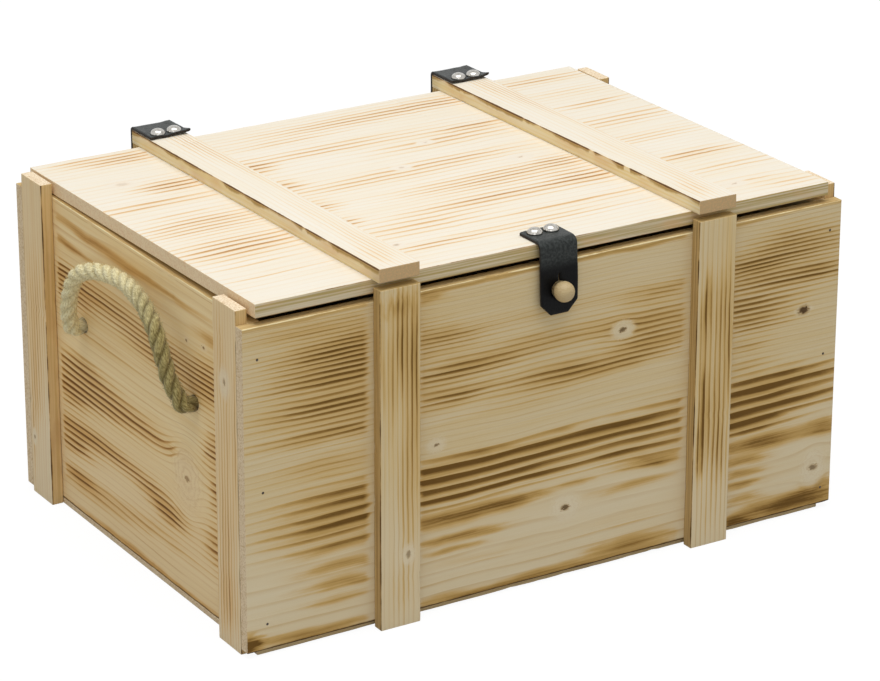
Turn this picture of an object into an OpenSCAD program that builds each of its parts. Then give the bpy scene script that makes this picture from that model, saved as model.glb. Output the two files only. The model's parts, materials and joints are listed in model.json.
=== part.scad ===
// Wooden wine box: nailed pine boards, a loose lid on two leather hinges,
// a leather strap that buttons over a turned knob, and a rope handle on each end.
// X runs along the length, the front faces -Y, and the base stands on Z = 0.

/* [Carcass] */
// Length of the front and back panels
box_l = 480; // [380:1:600]
// Depth over the outer faces of the front and back panels
box_d = 332; // [270:1:420]
// Height of the four panels
panel_h = 231; // [190:1:320]
// Thickness of the four panels
panel_t = 9; // [7:0.5:14]
// Thickness of the bottom board
bottom_t = 4; // [3:0.5:9]
// Setback of the bottom board from the faces of the front and back panels
bottom_setback = 3; // [1:0.5:6]

/* [Cleats and battens] */
// Width of each cleat and batten
strip_w = 31; // [27:1:45]
// Thickness of the upright cleats and battens
strip_t = 9; // [8:0.5:14]
// Distance from the middle of the box to the middle of a batten
batten_offset = 127; // [70:1:150]
// Chamfer along the long arrises of cleats and battens
arris = 0.6; // [0.2:0.1:1.5]

/* [Lid] */
// Thickness of the lid panel
lid_t = 10; // [7:0.5:14]
// Thickness of the two battens on the lid
lid_batten_t = 10; // [8:0.5:14]
// Gap between each end of the lid panel and the cleats beside it
lid_end_gap = 2; // [1:0.5:4]
// Setback of the lid's front edge from the front panel's face
lid_front_setback = 2; // [0.5:0.5:5]
// Gap between the lid's rear edge and the rear battens
lid_rear_gap = 1; // [0.5:0.5:3]
// Overhang of the lid battens past the front panel's face
lid_batten_nose = 8; // [2:0.5:9]
// Angle at which the stiff leather holds the lid open, in degrees
lid_ajar = 0.8; // [0:0.1:1.2]

/* [Hinges] */
// Thickness of the hinge leather
hinge_t = 2; // [1.5:0.1:3]
// Length of the hinge leather on top of each lid batten
hinge_top_l = 30; // [20:1:45]
// Length of the hinge leather down each rear batten
hinge_drop = 28; // [20:1:45]

/* [Closure] */
// Thickness of the closure leather
strap_t = 2.2; // [1.5:0.1:3]
// Width of the closure leather
strap_w = 30; // [25:1:40]
// Length of the closure leather that lies on the lid
strap_top_l = 21; // [16:1:40]
// Gap between the front panel's face and the leather where it starts to hang
strap_standoff = 1.6; // [0.5:0.1:3]
// Length of the flap that hangs below the bend
flap_l = 46.7; // [42:0.5:60]
// Outward lean of the hanging flap, in degrees
flap_lean = 1.3; // [0:0.1:2.5]
// Corner cut at the free end of the flap
flap_corner = 8; // [4:0.5:10]
// Distance from the free end of the flap to the middle of the keyhole
keyhole_rise = 17.5; // [15:0.5:22]
// Diameter of the keyhole's round end
keyhole_d = 12; // [11:0.5:14]
// Length of the slit above the keyhole's round end
slit_l = 8; // [5:0.5:12]
// Width of the slit
slit_w = 1.2; // [0.8:0.1:2]
// Diameter of the knob's ball
knob_d = 15; // [14:0.5:18]
// Clearance between the ball and the rim of the keyhole
keyhole_gap = 1.1; // [0.5:0.1:2]
// Diameter of the knob's neck and dowel
knob_neck_d = 6; // [5:0.5:8]

/* [Dome nails] */
// Diameter of a nail's domed head
nail_head_d = 11; // [9:0.5:12]
// Height of a nail's domed head
nail_head_h = 4.7; // [3:0.1:5.4]
// Diameter of a nail's shank
nail_shank_d = 1.8; // [1.4:0.1:2.4]
// Length of a nail's shank
nail_shank_l = 8.5; // [6:0.5:8.5]
// Distance between the two nails of a pair
nail_pitch = 13; // [12:0.5:16]
// Distance from a nail to the end of its leather
nail_edge = 6.5; // [6:0.5:8]

/* [Rope handles] */
// Diameter of the rope
rope_d = 10; // [8:0.5:11]
// Distance between the two holes of one handle
rope_pitch = 164; // [150:1:200]
// Height of the rope holes above the bottom of the panels
rope_rise = 149; // [110:1:165]
// Running clearance round a rope in its hole
rope_gap = 0.5; // [0.3:0.1:1]
// Distance from the end panel to the point where the rope bends upward
rope_bend_out = 9; // [8.5:0.1:12]

/* [Hidden] */
$fn = 64;
// Overshoot of cutting tools
eps = 1;
// Gap between a soft piece and the one it rests on or turns against
soft_gap = 0.3;

face_y = box_d / 2;
end_x = box_l / 2 - strip_t;
panel_top = bottom_t + panel_h;
lid_top = panel_top + lid_t;
batten_face_y = face_y + strip_t;
cleat_y = face_y - panel_t - strip_w / 2;

lid_l = 2 * (end_x - lid_end_gap);
lid_front_y = -face_y + lid_front_setback;
lid_rear_y = face_y - lid_rear_gap;
lid_batten_front_y = -face_y - lid_batten_nose;

// Fold line of the hinges: the outer face of the leather, level with the lid's top
hinge_y = batten_face_y + hinge_t;
hinge_z = lid_top;

// Inner radius of the strap's bend over the lid's front edge
strap_bend_r = lid_front_setback + strap_standoff;

// Fold line of the closure flap, in the frame of the shut lid
flap_y = lid_front_y - strap_bend_r - strap_t;
flap_z = lid_top - strap_bend_r;
keyhole_drop = flap_l - keyhole_rise;

// The same fold line when the lid is ajar, and how far the flap hangs from plumb
flap_rest_y = hinge_y + (flap_y - hinge_y) * cos(lid_ajar) + (flap_z - hinge_z) * sin(lid_ajar);
flap_rest_z = hinge_z - (flap_y - hinge_y) * sin(lid_ajar) + (flap_z - hinge_z) * cos(lid_ajar);
flap_slope = lid_ajar + flap_lean;

// Knob centre: level with the keyhole, and just proud enough for the rim to clear the ball
knob_z = flap_rest_z - keyhole_drop * cos(flap_slope);
knob_seat_r = keyhole_d / 2 - keyhole_gap;
knob_y = flap_rest_y - keyhole_drop * sin(flap_slope) - sqrt(pow(knob_d / 2, 2) - pow(knob_seat_r, 2));
// Wood left behind the blind hole for the knob's dowel
dowel_wall = 1.5;
knob_dowel_l = panel_t - dowel_wall;

// Width of a nail's blunt point
nail_point_d = 0.3;
// Radius of the sphere that gives a nail's dome its width and height
dome_r = (pow(nail_head_d / 2, 2) + pow(nail_head_h, 2)) / (2 * nail_head_h);

rope_r = rope_d / 2;
rope_sides = 12;
rope_hole_d = rope_d + 2 * rope_gap;
rope_z = bottom_t + rope_rise;
// Where the fixed rope in each hole ends, just clear of the handle's round end, and its eased rim
stub_out = rope_bend_out - rope_r - soft_gap;
stub_chamfer = 0.5;
// Stopper knot inside the panel: two leaning turns and the rope's tail
knot_rope_r = rope_r - soft_gap;
knot_turn_r = 1.4 * rope_r;
knot_leans = [8, -14];
knot_tail_l = 6;

// Half of a handle's route: distance out from the bend, distance in from the hole,
// and height above the hole; the other half mirrors it
HANDLE_ROUTE = [
    [0, 0, 0], [3, 2.5, 7.5], [6, 7, 17], [7.5, 15, 35], [7, 27, 50], [4, 50, 59], [1.5, 82, 62]
];

// ---- Shared shapes ----

// Upright strip with eased long arrises, centred on X and Y
module upright_strip(width, thickness, height) {
    linear_extrude(height) chamfered_rectangle(width, thickness);
}

// Strip that lies along Y from y0 to y1, centred on X, with its underside at Z = 0
module lying_strip(width, thickness, y0, y1) {
    translate([0, y1, thickness / 2])
        rotate([90, 0, 0])
            linear_extrude(y1 - y0) chamfered_rectangle(width, thickness);
}

module chamfered_rectangle(width, thickness) {
    x = width / 2;
    y = thickness / 2;
    polygon([
        [-x + arris, -y], [x - arris, -y], [x, -y + arris], [x, y - arris],
        [x - arris, y], [-x + arris, y], [-x, y - arris], [-x, -y + arris]
    ]);
}

// Quarter of a ring in the quadrant of negative X and positive Y
module quarter_ring(inner_r, outer_r) {
    intersection() {
        difference() {
            circle(outer_r);
            if (inner_r > 0) circle(inner_r);
        }
        translate([-outer_r - eps, 0]) square(outer_r + eps);
    }
}

// Extrudes a profile drawn in the YZ plane along X, centred on the middle of the box
module along_x(width) {
    translate([-width / 2, 0, 0])
        rotate([90, 0, 90])
            linear_extrude(width) children();
}

// Turns the shut lid to its rest position about the hinges' fold line
module on_lid() {
    translate([0, hinge_y, hinge_z])
        rotate([-lid_ajar, 0, 0])
            translate([0, -hinge_y, -hinge_z]) children();
}

// Domed nail with its head's underside at Z = 0 and its shank pointing down
module dome_nail() {
    intersection() {
        translate([0, 0, nail_head_h - dome_r]) sphere(dome_r);
        cylinder(h = nail_head_h + eps, r = nail_head_d);
    }
    straight_l = nail_shank_l - nail_shank_d;
    translate([0, 0, -straight_l]) cylinder(h = straight_l, d = nail_shank_d);
    translate([0, 0, -nail_shank_l]) cylinder(h = nail_shank_d, d1 = nail_point_d, d2 = nail_shank_d);
}

// Hole that a nail's shank has made, down to the tip of its point
module nail_hole() {
    translate([0, 0, -nail_shank_l]) cylinder(h = nail_shank_l + eps, d = nail_shank_d);
}

// Places children at both nails of a pair
module nail_pair() {
    for (side = [-1, 1]) translate([side * nail_pitch / 2, 0, 0]) children();
}

// Where the nails go on the lid batten's leaf, on the rear batten's leaf and on the closure strap
module at_lid_leaf_nails() {
    translate([0, batten_face_y - hinge_top_l + nail_edge, lid_top + lid_batten_t + hinge_t])
        nail_pair() children();
}

module at_box_leaf_nails() {
    translate([0, hinge_y, hinge_z - hinge_drop + nail_edge])
        nail_pair() rotate([-90, 0, 0]) children();
}

module at_strap_nails() {
    translate([0, lid_front_y + strap_top_l - nail_edge, lid_top + strap_t])
        nail_pair() children();
}

// ---- Carcass ----

module end_to_end_panel() {
    translate([-box_l / 2, -face_y, bottom_t]) cube([box_l, panel_t, panel_h]);
}

module front_panel() {
    color("burlywood") difference() {
        end_to_end_panel();
        translate([0, -face_y - eps, knob_z])
            rotate([-90, 0, 0]) cylinder(h = knob_dowel_l + eps, d = knob_neck_d);
    }
}

module back_panel() {
    color("burlywood") mirror([0, 1, 0]) end_to_end_panel();
}

// Panel that stands between the front and back panels, drilled for the rope
module end_panel() {
    inner_y = face_y - panel_t;
    color("tan") difference() {
        translate([end_x - panel_t, -inner_y, bottom_t]) cube([panel_t, 2 * inner_y, panel_h]);
        for (side = [-1, 1])
            translate([end_x - panel_t - eps, side * rope_pitch / 2, rope_z])
                rotate([0, 90, 0]) cylinder(h = panel_t + 2 * eps, d = rope_hole_d);
    }
}

module left_end_panel() {
    mirror([1, 0, 0]) end_panel();
}

module right_end_panel() {
    end_panel();
}

module bottom_board() {
    board_y = face_y - bottom_setback;
    color("peru") translate([-end_x, -board_y, 0]) cube([2 * end_x, 2 * board_y, bottom_t]);
}

// ---- Cleats on the ends, and battens on the front and back ----

module cleat(side_x, side_y) {
    color("wheat")
        translate([side_x * (end_x + strip_t / 2), side_y * cleat_y, 0])
            rotate([0, 0, 90]) upright_strip(strip_w, strip_t, lid_top);
}

module front_left_cleat() {
    cleat(-1, -1);
}

module front_right_cleat() {
    cleat(1, -1);
}

module rear_left_cleat() {
    cleat(-1, 1);
}

module rear_right_cleat() {
    cleat(1, 1);
}

module front_batten(side_x) {
    color("wheat")
        translate([side_x * batten_offset, -face_y - strip_t / 2, 0])
            upright_strip(strip_w, strip_t, lid_top);
}

module rear_batten(side_x) {
    color("wheat") difference() {
        translate([side_x * batten_offset, face_y + strip_t / 2, 0])
            upright_strip(strip_w, strip_t, lid_top);
        translate([side_x * batten_offset, 0, 0]) at_box_leaf_nails() nail_hole();
    }
}

module front_left_batten() {
    front_batten(-1);
}

module front_right_batten() {
    front_batten(1);
}

module rear_left_batten() {
    rear_batten(-1);
}

module rear_right_batten() {
    rear_batten(1);
}

// ---- Lid ----

module lid_panel() {
    color("moccasin") on_lid() difference() {
        translate([-lid_l / 2, lid_front_y, panel_top]) cube([lid_l, lid_rear_y - lid_front_y, lid_t]);
        at_strap_nails() nail_hole();
    }
}

module lid_batten(side_x) {
    color("wheat") on_lid() translate([side_x * batten_offset, 0, 0]) difference() {
        translate([0, 0, lid_top]) lying_strip(strip_w, lid_batten_t, lid_batten_front_y, batten_face_y);
        at_lid_leaf_nails() nail_hole();
    }
}

module left_lid_batten() {
    lid_batten(-1);
}

module right_lid_batten() {
    lid_batten(1);
}

// ---- Leather hinges ----

// Leaf that lies on a lid batten and turns down over its rear end to the fold line
module hinge_lid_leaf(side_x) {
    batten_top = lid_top + lid_batten_t;
    color([0.13, 0.12, 0.13]) on_lid() translate([side_x * batten_offset, 0, 0]) difference() {
        along_x(strip_w) {
            translate([batten_face_y - hinge_top_l, batten_top]) square([hinge_top_l, hinge_t]);
            translate([batten_face_y, batten_top]) mirror([1, 0]) quarter_ring(0, hinge_t);
            translate([batten_face_y, hinge_z]) square([hinge_t, lid_batten_t]);
        }
        at_lid_leaf_nails() nail_hole();
    }
}

// Leaf that runs down a rear batten from the fold line
module hinge_box_leaf(side_x) {
    color([0.13, 0.12, 0.13]) translate([side_x * batten_offset, 0, 0]) difference() {
        along_x(strip_w)
            translate([batten_face_y, hinge_z - hinge_drop]) square([hinge_t, hinge_drop]);
        at_box_leaf_nails() nail_hole();
    }
}

module left_hinge_lid_leaf() {
    hinge_lid_leaf(-1);
}

module right_hinge_lid_leaf() {
    hinge_lid_leaf(1);
}

module left_hinge_box_leaf() {
    hinge_box_leaf(-1);
}

module right_hinge_box_leaf() {
    hinge_box_leaf(1);
}

module hinge_lid_nails() {
    color("silver") on_lid()
        for (side = [-1, 1])
            translate([side * batten_offset, 0, 0]) at_lid_leaf_nails() dome_nail();
}

module hinge_box_nails() {
    color("silver")
        for (side = [-1, 1])
            translate([side * batten_offset, 0, 0]) at_box_leaf_nails() dome_nail();
}

// ---- Closure ----

// Leather nailed to the lid, with the bend over the lid's front edge
module closure_strap() {
    color([0.13, 0.12, 0.13]) on_lid() difference() {
        along_x(strap_w) {
            translate([lid_front_y, lid_top]) square([strap_top_l, strap_t]);
            translate([lid_front_y, flap_z]) quarter_ring(strap_bend_r, strap_bend_r + strap_t);
        }
        at_strap_nails() nail_hole();
    }
}

module closure_strap_nails() {
    color("silver") on_lid() at_strap_nails() dome_nail();
}

// Outline of the flap below its fold line, with a keyhole that the ball is pushed through
module flap_outline() {
    x = strap_w / 2;
    difference() {
        polygon([
            [-x, 0], [x, 0], [x, -flap_l + flap_corner],
            [x - flap_corner, -flap_l], [-x + flap_corner, -flap_l], [-x, -flap_l + flap_corner]
        ]);
        translate([0, -keyhole_drop]) circle(d = keyhole_d);
        translate([-slit_w / 2, -keyhole_drop]) square([slit_w, keyhole_d / 2 + slit_l]);
    }
}

// Flap that hangs from the fold line at the end of the strap's bend
module closure_flap() {
    color([0.13, 0.12, 0.13]) on_lid()
        translate([0, flap_y, flap_z])
            rotate([-flap_lean, 0, 0])
                translate([0, strap_t, 0])
                    rotate([90, 0, 0]) linear_extrude(strap_t) flap_outline();
}

// Turned ball with a neck and a dowel glued into the front panel
module closure_knob() {
    color("navajowhite") {
        translate([0, knob_y, knob_z]) sphere(d = knob_d);
        translate([0, knob_y, knob_z])
            rotate([-90, 0, 0]) cylinder(h = -face_y + knob_dowel_l - knob_y, d = knob_neck_d);
    }
}

// ---- Rope handles ----

function unit(v) = v / norm(v);

// Direction of a route at point i
function tangent(p, i) = unit(p[min(i + 1, len(p) - 1)] - p[max(i - 1, 0)]);

// Ring of a rope of radius r round centre c, square to direction t
function ring(c, t, r) =
    let (u = unit(cross(t, [1, 0, 0])), v = cross(t, u))
    [for (k = [0 : rope_sides - 1])
        let (a = 360 * k / rope_sides) c + r * (cos(a) * u + sin(a) * v)];

// Rings that round off the end of a rope at point c, in order along direction t
function round_end(c, t, lift) =
    [for (a = lift) ring(c + rope_r * sin(a) * t, t, rope_r * cos(a))];

// One handle's rope between its two bends, with a round end centred on each bend
module rope_arch() {
    half = [for (p = HANDLE_ROUTE) [p[0], rope_pitch / 2 - p[1], p[2]]];
    last = len(half) - 1;
    route = concat(half, [for (i = [last - 1 : -1 : 0]) [half[i][0], -half[i][1], half[i][2]]]);
    n = len(route);
    rings = concat(
        round_end(route[0], tangent(route, 0), [-75, -50, -25]),
        [for (i = [0 : n - 1]) ring(route[i], tangent(route, i), rope_r)],
        round_end(route[n - 1], tangent(route, n - 1), [25, 50, 75])
    );
    count = len(rings);
    sides = rope_sides;
    polyhedron(
        points = [for (r = rings) for (p = r) p],
        faces = concat(
            [[for (k = [0 : sides - 1]) k]],
            [for (i = [0 : count - 2]) for (k = [0 : sides - 1])
                let (a = i * sides, b = a + sides, next = (k + 1) % sides)
                [a + k, b + k, b + next, a + next]],
            [[for (k = [sides - 1 : -1 : 0]) (count - 1) * sides + k]]
        )
    );
}

module rope_handle() {
    color("darkkhaki") translate([end_x + rope_bend_out, 0, rope_z]) rope_arch();
}

module left_rope_handle() {
    mirror([1, 0, 0]) rope_handle();
}

module right_rope_handle() {
    rope_handle();
}

// Turn of rope wound round the X axis, leaning by an angle
module knot_turn(lean) {
    rotate([0, 90 + lean, 0]) rotate_extrude() translate([knot_turn_r, 0]) circle(knot_rope_r);
}

// Rope in one hole with its stopper knot, drawn out along +X from the panel's outer face
module rope_end() {
    first_turn_x = -panel_t - soft_gap - knot_rope_r - knot_turn_r * sin(knot_leans[0]);
    second_turn_x = first_turn_x - rope_r;
    tail_x = second_turn_x - knot_tail_l;
    rim_x = stub_out - stub_chamfer;
    translate([tail_x, 0, 0])
        rotate([0, 90, 0]) cylinder(h = rim_x - tail_x, r = rope_r);
    translate([rim_x, 0, 0])
        rotate([0, 90, 0]) cylinder(h = stub_chamfer, r1 = rope_r, r2 = rope_r - stub_chamfer);
    translate([first_turn_x, 0, 0]) knot_turn(knot_leans[0]);
    translate([second_turn_x, 0, 0]) knot_turn(knot_leans[1]);
}

module rope_ends() {
    color("darkkhaki")
        for (side = [-1, 1]) translate([end_x, side * rope_pitch / 2, rope_z]) rope_end();
}

module left_rope_ends() {
    mirror([1, 0, 0]) rope_ends();
}

module right_rope_ends() {
    rope_ends();
}

front_panel();
back_panel();
left_end_panel();
right_end_panel();
bottom_board();
front_left_cleat();
front_right_cleat();
rear_left_cleat();
rear_right_cleat();
front_left_batten();
front_right_batten();
rear_left_batten();
rear_right_batten();
lid_panel();
left_lid_batten();
right_lid_batten();
left_hinge_lid_leaf();
right_hinge_lid_leaf();
left_hinge_box_leaf();
right_hinge_box_leaf();
hinge_lid_nails();
hinge_box_nails();
closure_strap();
closure_strap_nails();
closure_flap();
closure_knob();
left_rope_handle();
right_rope_handle();
left_rope_ends();
right_rope_ends();
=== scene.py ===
"""Visual model of the wooden wine box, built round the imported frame.

Geometry is in metres, in the same frame as the CAD: X runs along the length, the front
faces -Y and the base stands on Z = 0. Materials work in millimetres.
"""

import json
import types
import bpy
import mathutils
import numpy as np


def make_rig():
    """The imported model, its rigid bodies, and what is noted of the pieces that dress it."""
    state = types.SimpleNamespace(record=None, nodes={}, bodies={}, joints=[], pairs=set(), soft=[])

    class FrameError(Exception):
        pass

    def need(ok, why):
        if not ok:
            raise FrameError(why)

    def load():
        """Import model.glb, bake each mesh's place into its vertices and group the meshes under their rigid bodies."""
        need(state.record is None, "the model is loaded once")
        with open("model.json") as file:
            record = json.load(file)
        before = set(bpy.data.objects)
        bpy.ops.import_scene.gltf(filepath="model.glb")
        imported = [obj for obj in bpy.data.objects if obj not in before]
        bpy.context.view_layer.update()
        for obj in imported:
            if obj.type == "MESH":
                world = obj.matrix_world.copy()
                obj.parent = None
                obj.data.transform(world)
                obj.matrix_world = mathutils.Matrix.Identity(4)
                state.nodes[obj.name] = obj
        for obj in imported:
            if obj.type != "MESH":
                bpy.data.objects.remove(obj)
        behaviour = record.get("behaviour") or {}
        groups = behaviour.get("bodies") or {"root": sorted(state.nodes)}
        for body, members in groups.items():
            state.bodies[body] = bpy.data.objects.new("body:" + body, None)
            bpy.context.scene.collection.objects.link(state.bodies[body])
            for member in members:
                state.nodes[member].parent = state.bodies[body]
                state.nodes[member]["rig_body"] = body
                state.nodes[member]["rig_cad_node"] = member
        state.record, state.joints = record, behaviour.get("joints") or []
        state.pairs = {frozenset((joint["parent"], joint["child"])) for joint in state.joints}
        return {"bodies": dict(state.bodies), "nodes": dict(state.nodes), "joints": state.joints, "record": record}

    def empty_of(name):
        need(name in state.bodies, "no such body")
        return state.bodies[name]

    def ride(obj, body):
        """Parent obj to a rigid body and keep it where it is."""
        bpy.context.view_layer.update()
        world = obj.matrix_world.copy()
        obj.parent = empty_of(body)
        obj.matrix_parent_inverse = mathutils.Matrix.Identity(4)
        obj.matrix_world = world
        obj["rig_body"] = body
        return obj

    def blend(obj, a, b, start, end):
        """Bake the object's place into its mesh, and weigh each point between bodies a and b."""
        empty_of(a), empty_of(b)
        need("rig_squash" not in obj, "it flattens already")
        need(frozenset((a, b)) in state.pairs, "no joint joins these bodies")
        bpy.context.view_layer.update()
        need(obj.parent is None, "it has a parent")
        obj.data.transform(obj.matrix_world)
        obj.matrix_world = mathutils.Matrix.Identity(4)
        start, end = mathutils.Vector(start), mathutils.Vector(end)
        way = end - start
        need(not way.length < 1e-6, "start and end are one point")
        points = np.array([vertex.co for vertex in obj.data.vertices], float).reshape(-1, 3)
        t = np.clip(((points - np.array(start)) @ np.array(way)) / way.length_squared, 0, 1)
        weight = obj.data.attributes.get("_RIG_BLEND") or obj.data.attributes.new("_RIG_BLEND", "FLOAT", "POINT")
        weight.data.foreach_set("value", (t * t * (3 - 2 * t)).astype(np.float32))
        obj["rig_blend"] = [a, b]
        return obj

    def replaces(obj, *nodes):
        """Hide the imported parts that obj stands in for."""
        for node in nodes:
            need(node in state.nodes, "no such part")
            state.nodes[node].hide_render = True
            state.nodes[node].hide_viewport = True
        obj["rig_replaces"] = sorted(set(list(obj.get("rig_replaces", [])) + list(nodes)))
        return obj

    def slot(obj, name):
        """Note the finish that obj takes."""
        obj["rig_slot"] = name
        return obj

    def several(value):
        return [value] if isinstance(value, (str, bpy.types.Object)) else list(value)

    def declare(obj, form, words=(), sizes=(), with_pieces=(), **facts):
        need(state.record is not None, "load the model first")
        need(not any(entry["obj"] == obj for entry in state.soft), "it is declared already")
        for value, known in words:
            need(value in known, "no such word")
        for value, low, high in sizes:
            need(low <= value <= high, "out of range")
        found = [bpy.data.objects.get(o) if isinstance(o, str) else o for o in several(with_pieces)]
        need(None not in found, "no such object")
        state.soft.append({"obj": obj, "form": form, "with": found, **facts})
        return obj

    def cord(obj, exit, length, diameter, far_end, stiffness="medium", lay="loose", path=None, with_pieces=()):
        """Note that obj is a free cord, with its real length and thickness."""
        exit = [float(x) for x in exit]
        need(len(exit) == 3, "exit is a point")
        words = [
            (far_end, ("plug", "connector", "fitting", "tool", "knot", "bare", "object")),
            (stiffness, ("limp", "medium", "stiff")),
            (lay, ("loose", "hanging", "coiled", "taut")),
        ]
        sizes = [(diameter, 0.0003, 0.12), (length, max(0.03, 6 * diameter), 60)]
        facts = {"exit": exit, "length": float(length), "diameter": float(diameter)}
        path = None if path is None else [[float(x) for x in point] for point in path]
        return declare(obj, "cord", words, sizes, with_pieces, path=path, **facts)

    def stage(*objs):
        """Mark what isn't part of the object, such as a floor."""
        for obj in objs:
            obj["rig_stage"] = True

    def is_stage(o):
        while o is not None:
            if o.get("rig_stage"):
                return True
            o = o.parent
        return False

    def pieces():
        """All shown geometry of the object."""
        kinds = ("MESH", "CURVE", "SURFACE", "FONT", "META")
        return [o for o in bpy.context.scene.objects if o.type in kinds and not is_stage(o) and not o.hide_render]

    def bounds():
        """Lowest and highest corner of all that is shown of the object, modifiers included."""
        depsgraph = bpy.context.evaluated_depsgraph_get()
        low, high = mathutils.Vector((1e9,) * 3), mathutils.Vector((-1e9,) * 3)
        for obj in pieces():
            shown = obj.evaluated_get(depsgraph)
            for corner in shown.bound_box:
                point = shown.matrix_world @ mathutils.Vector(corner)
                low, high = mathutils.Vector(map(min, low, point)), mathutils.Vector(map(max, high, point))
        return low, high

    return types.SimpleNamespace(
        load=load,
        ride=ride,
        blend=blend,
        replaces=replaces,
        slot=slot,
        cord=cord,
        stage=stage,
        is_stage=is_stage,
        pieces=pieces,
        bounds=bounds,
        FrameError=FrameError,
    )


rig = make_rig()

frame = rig.load()

import json
import math
import random
from functools import cache
from itertools import accumulate

import bmesh
import bpy
from mathutils import Matrix, Vector, geometry, noise

CAD_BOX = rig.bounds()
MM = 0.001
UP = (0, 0, 1)

# The photograph's frame, and the camera solved from the box's own edges
IMAGE_W = 880
FOCAL_PX = 3756.749
SENSOR_MM = 36.0
CAMERA_AT = (-1.303949, -2.132493, 1.117971)
CAMERA_YAW = math.radians(-31.664)
CAMERA_PITCH = math.radians(-21.73)
CAMERA_ROLL = math.radians(0.15)

# Main sizes, as in part.scad, in millimetres
BOX_HALF_L = 240.0
FACE_Y = 166.0
PANEL_T = 9.0
BOTTOM_T = 4.0
BOTTOM_HALF_W = 163.0
PANEL_TOP = 235.0
END_X = 231.0
LID_TOP = 245.0
STRIP_W = 31.0
BATTEN_X = 127.0
CLEAT_Y = 141.5
BATTEN_FACE_Y = 175.0
LID_FRONT_Y = -164.0
LID_REAR_Y = 165.0
LID_HALF_L = 229.0
LID_BATTEN_T = 10.0
LID_BATTEN_FRONT_Y = -174.0
LID_AJAR = math.radians(0.8)
HINGE_Y = 177.0
HINGE_Z = 245.0

# Boards: the hair's breadth between two that meet, how far the arrises are eased and worn, and
# the length of the pieces that a board is cut into, so that its worn arrises can wander
JOINT_GAP = 0.02
ARRIS = 0.6
ARRIS_WEAR = 0.22
BOARD_STEP = 5.0

# Leather
HINGE_T = 2.0
HINGE_TOP_L = 30.0
HINGE_DROP = 28.0
STRAP_T = 2.2
STRAP_W = 30.0
STRAP_TOP_L = 21.0
STRAP_BEND_R = 3.6
FLAP_L = 46.7
FLAP_LEAN = math.radians(1.3)
FLAP_CORNER = 8.0
KEYHOLE_DROP = 29.2
KEYHOLE_D = 12.0
SLIT_L = 5.5
SLIT_W = 1.2
NAIL_PITCH = 13.0
NAIL_EDGE = 6.5
NAIL_R = 5.65
NAIL_H = 4.0
DIMPLE_R = 9.0
DIMPLE_FLAT_R = 5.0
DIMPLE_DEPTH = 0.22
HINGE_LIFT = 0.08
HINGE_BEND_R = 1.5
STRAP_LIFT = 0.06

# Knob
KNOB_D = 14.4
KNOB_NECK_D = 6.0
KNOB_DOWEL_L = 7.5
KNOB_AT = (0.0, -176.56, 217.06)

# Rope handles: x from the knot to the bend, then part.scad's half route, which is counted out
# from the bend, in from the hole and up from it
ROPE_D = 10.0
ROPE_LOOSE = 1.18
ROPE_LAY = 34.0
ROPE_Y = 82.0
ROPE_Z = 153.0
ROPE_BEND_X = 240.0
ROPE_LEAD_X = (221.6, 228.0, 234.5)
ROPE_HOLE_D = ROPE_D + 1.0
HANDLE_ROUTE = [
    (0, 0, 0), (3, 2.5, 7.5), (6, 7, 17), (7.5, 15, 35), (7, 27, 50), (4, 50, 59), (1.5, 82, 62)
]
KNOT_TURN_R = 7.0
KNOT_ROPE_D = 9.4
STRANDS = 3
STRAND_SHARE = 0.62
ROPE_SIDES = 66
ROPE_STEP = 0.8
HANDLE_HALF_L = 135.0
FUZZ_PER_MM = 24.0

# Where the soft pieces bend from one body to the other, in metres
HANDLE_BLEND = ((0.236, 0.153), (0.2435, 0.168))
HINGE_BLEND_Z = (0.2425, 0.2475)
CLOSURE_BLEND = ((0, -0.1665, 0.2500), (0, -0.1700, 0.2425))

# Heads of the small wire nails that show on the front: x and z
BRAD_SPOTS = [
    (-229.2, 212.2), (-224.7, 22.7), (-226.5, 118.0), (230.4, 214.1), (231.4, 16.6),
    (228.9, 121.0),
]

# One unit of the texture coordinates of rope and leather, in millimetres
UV_MM = 100

# The colour sockets of a Mix node: inputs skipped after the factor, and the output's place
MIX_SKIPPED = 5
MIX_OUTPUT = 2

# Floor and world: what lights the object, and how the white background shows
FLOOR_HALF_MM = 9000
FLOOR_GREY = 0.55
FLOOR_GLOW = 1.16
FLOOR_GLOW_SHARE = 0.8
WORLD_LIGHT = 0.44


# ---- Camera ----

def in_scene(name, data):
    """A new object with this data, in the scene."""
    obj = bpy.data.objects.new(name, data)
    bpy.context.scene.collection.objects.link(obj)
    return obj


def make_camera():
    data = bpy.data.cameras.new("camera")
    data.sensor_width = SENSOR_MM
    data.lens = FOCAL_PX / IMAGE_W * SENSOR_MM
    data.clip_end = 50.0
    camera = in_scene("camera", data)
    camera.matrix_world = (
        Matrix.Translation(CAMERA_AT) @ Matrix.Rotation(CAMERA_YAW, 4, "Z")
        @ Matrix.Rotation(math.pi / 2 + CAMERA_PITCH, 4, "X")
        @ Matrix.Rotation(CAMERA_ROLL, 4, "Z")
    )
    bpy.context.scene.camera = camera


# ---- Meshes ----

def new_object(name, bm, smooth=True, place=None):
    """An object with this bmesh, whose points are in millimetres, moved by place if given."""
    if place is not None:
        for vert in bm.verts:
            vert.co = place(vert.co)
    bmesh.ops.recalc_face_normals(bm, faces=bm.faces)
    mesh = bpy.data.meshes.new(name)
    bm.to_mesh(mesh)
    bm.free()
    mesh.transform(Matrix.Scale(MM, 4))
    mesh.polygons.foreach_set("use_smooth", [smooth] * len(mesh.polygons))
    return in_scene(name, mesh)


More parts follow.
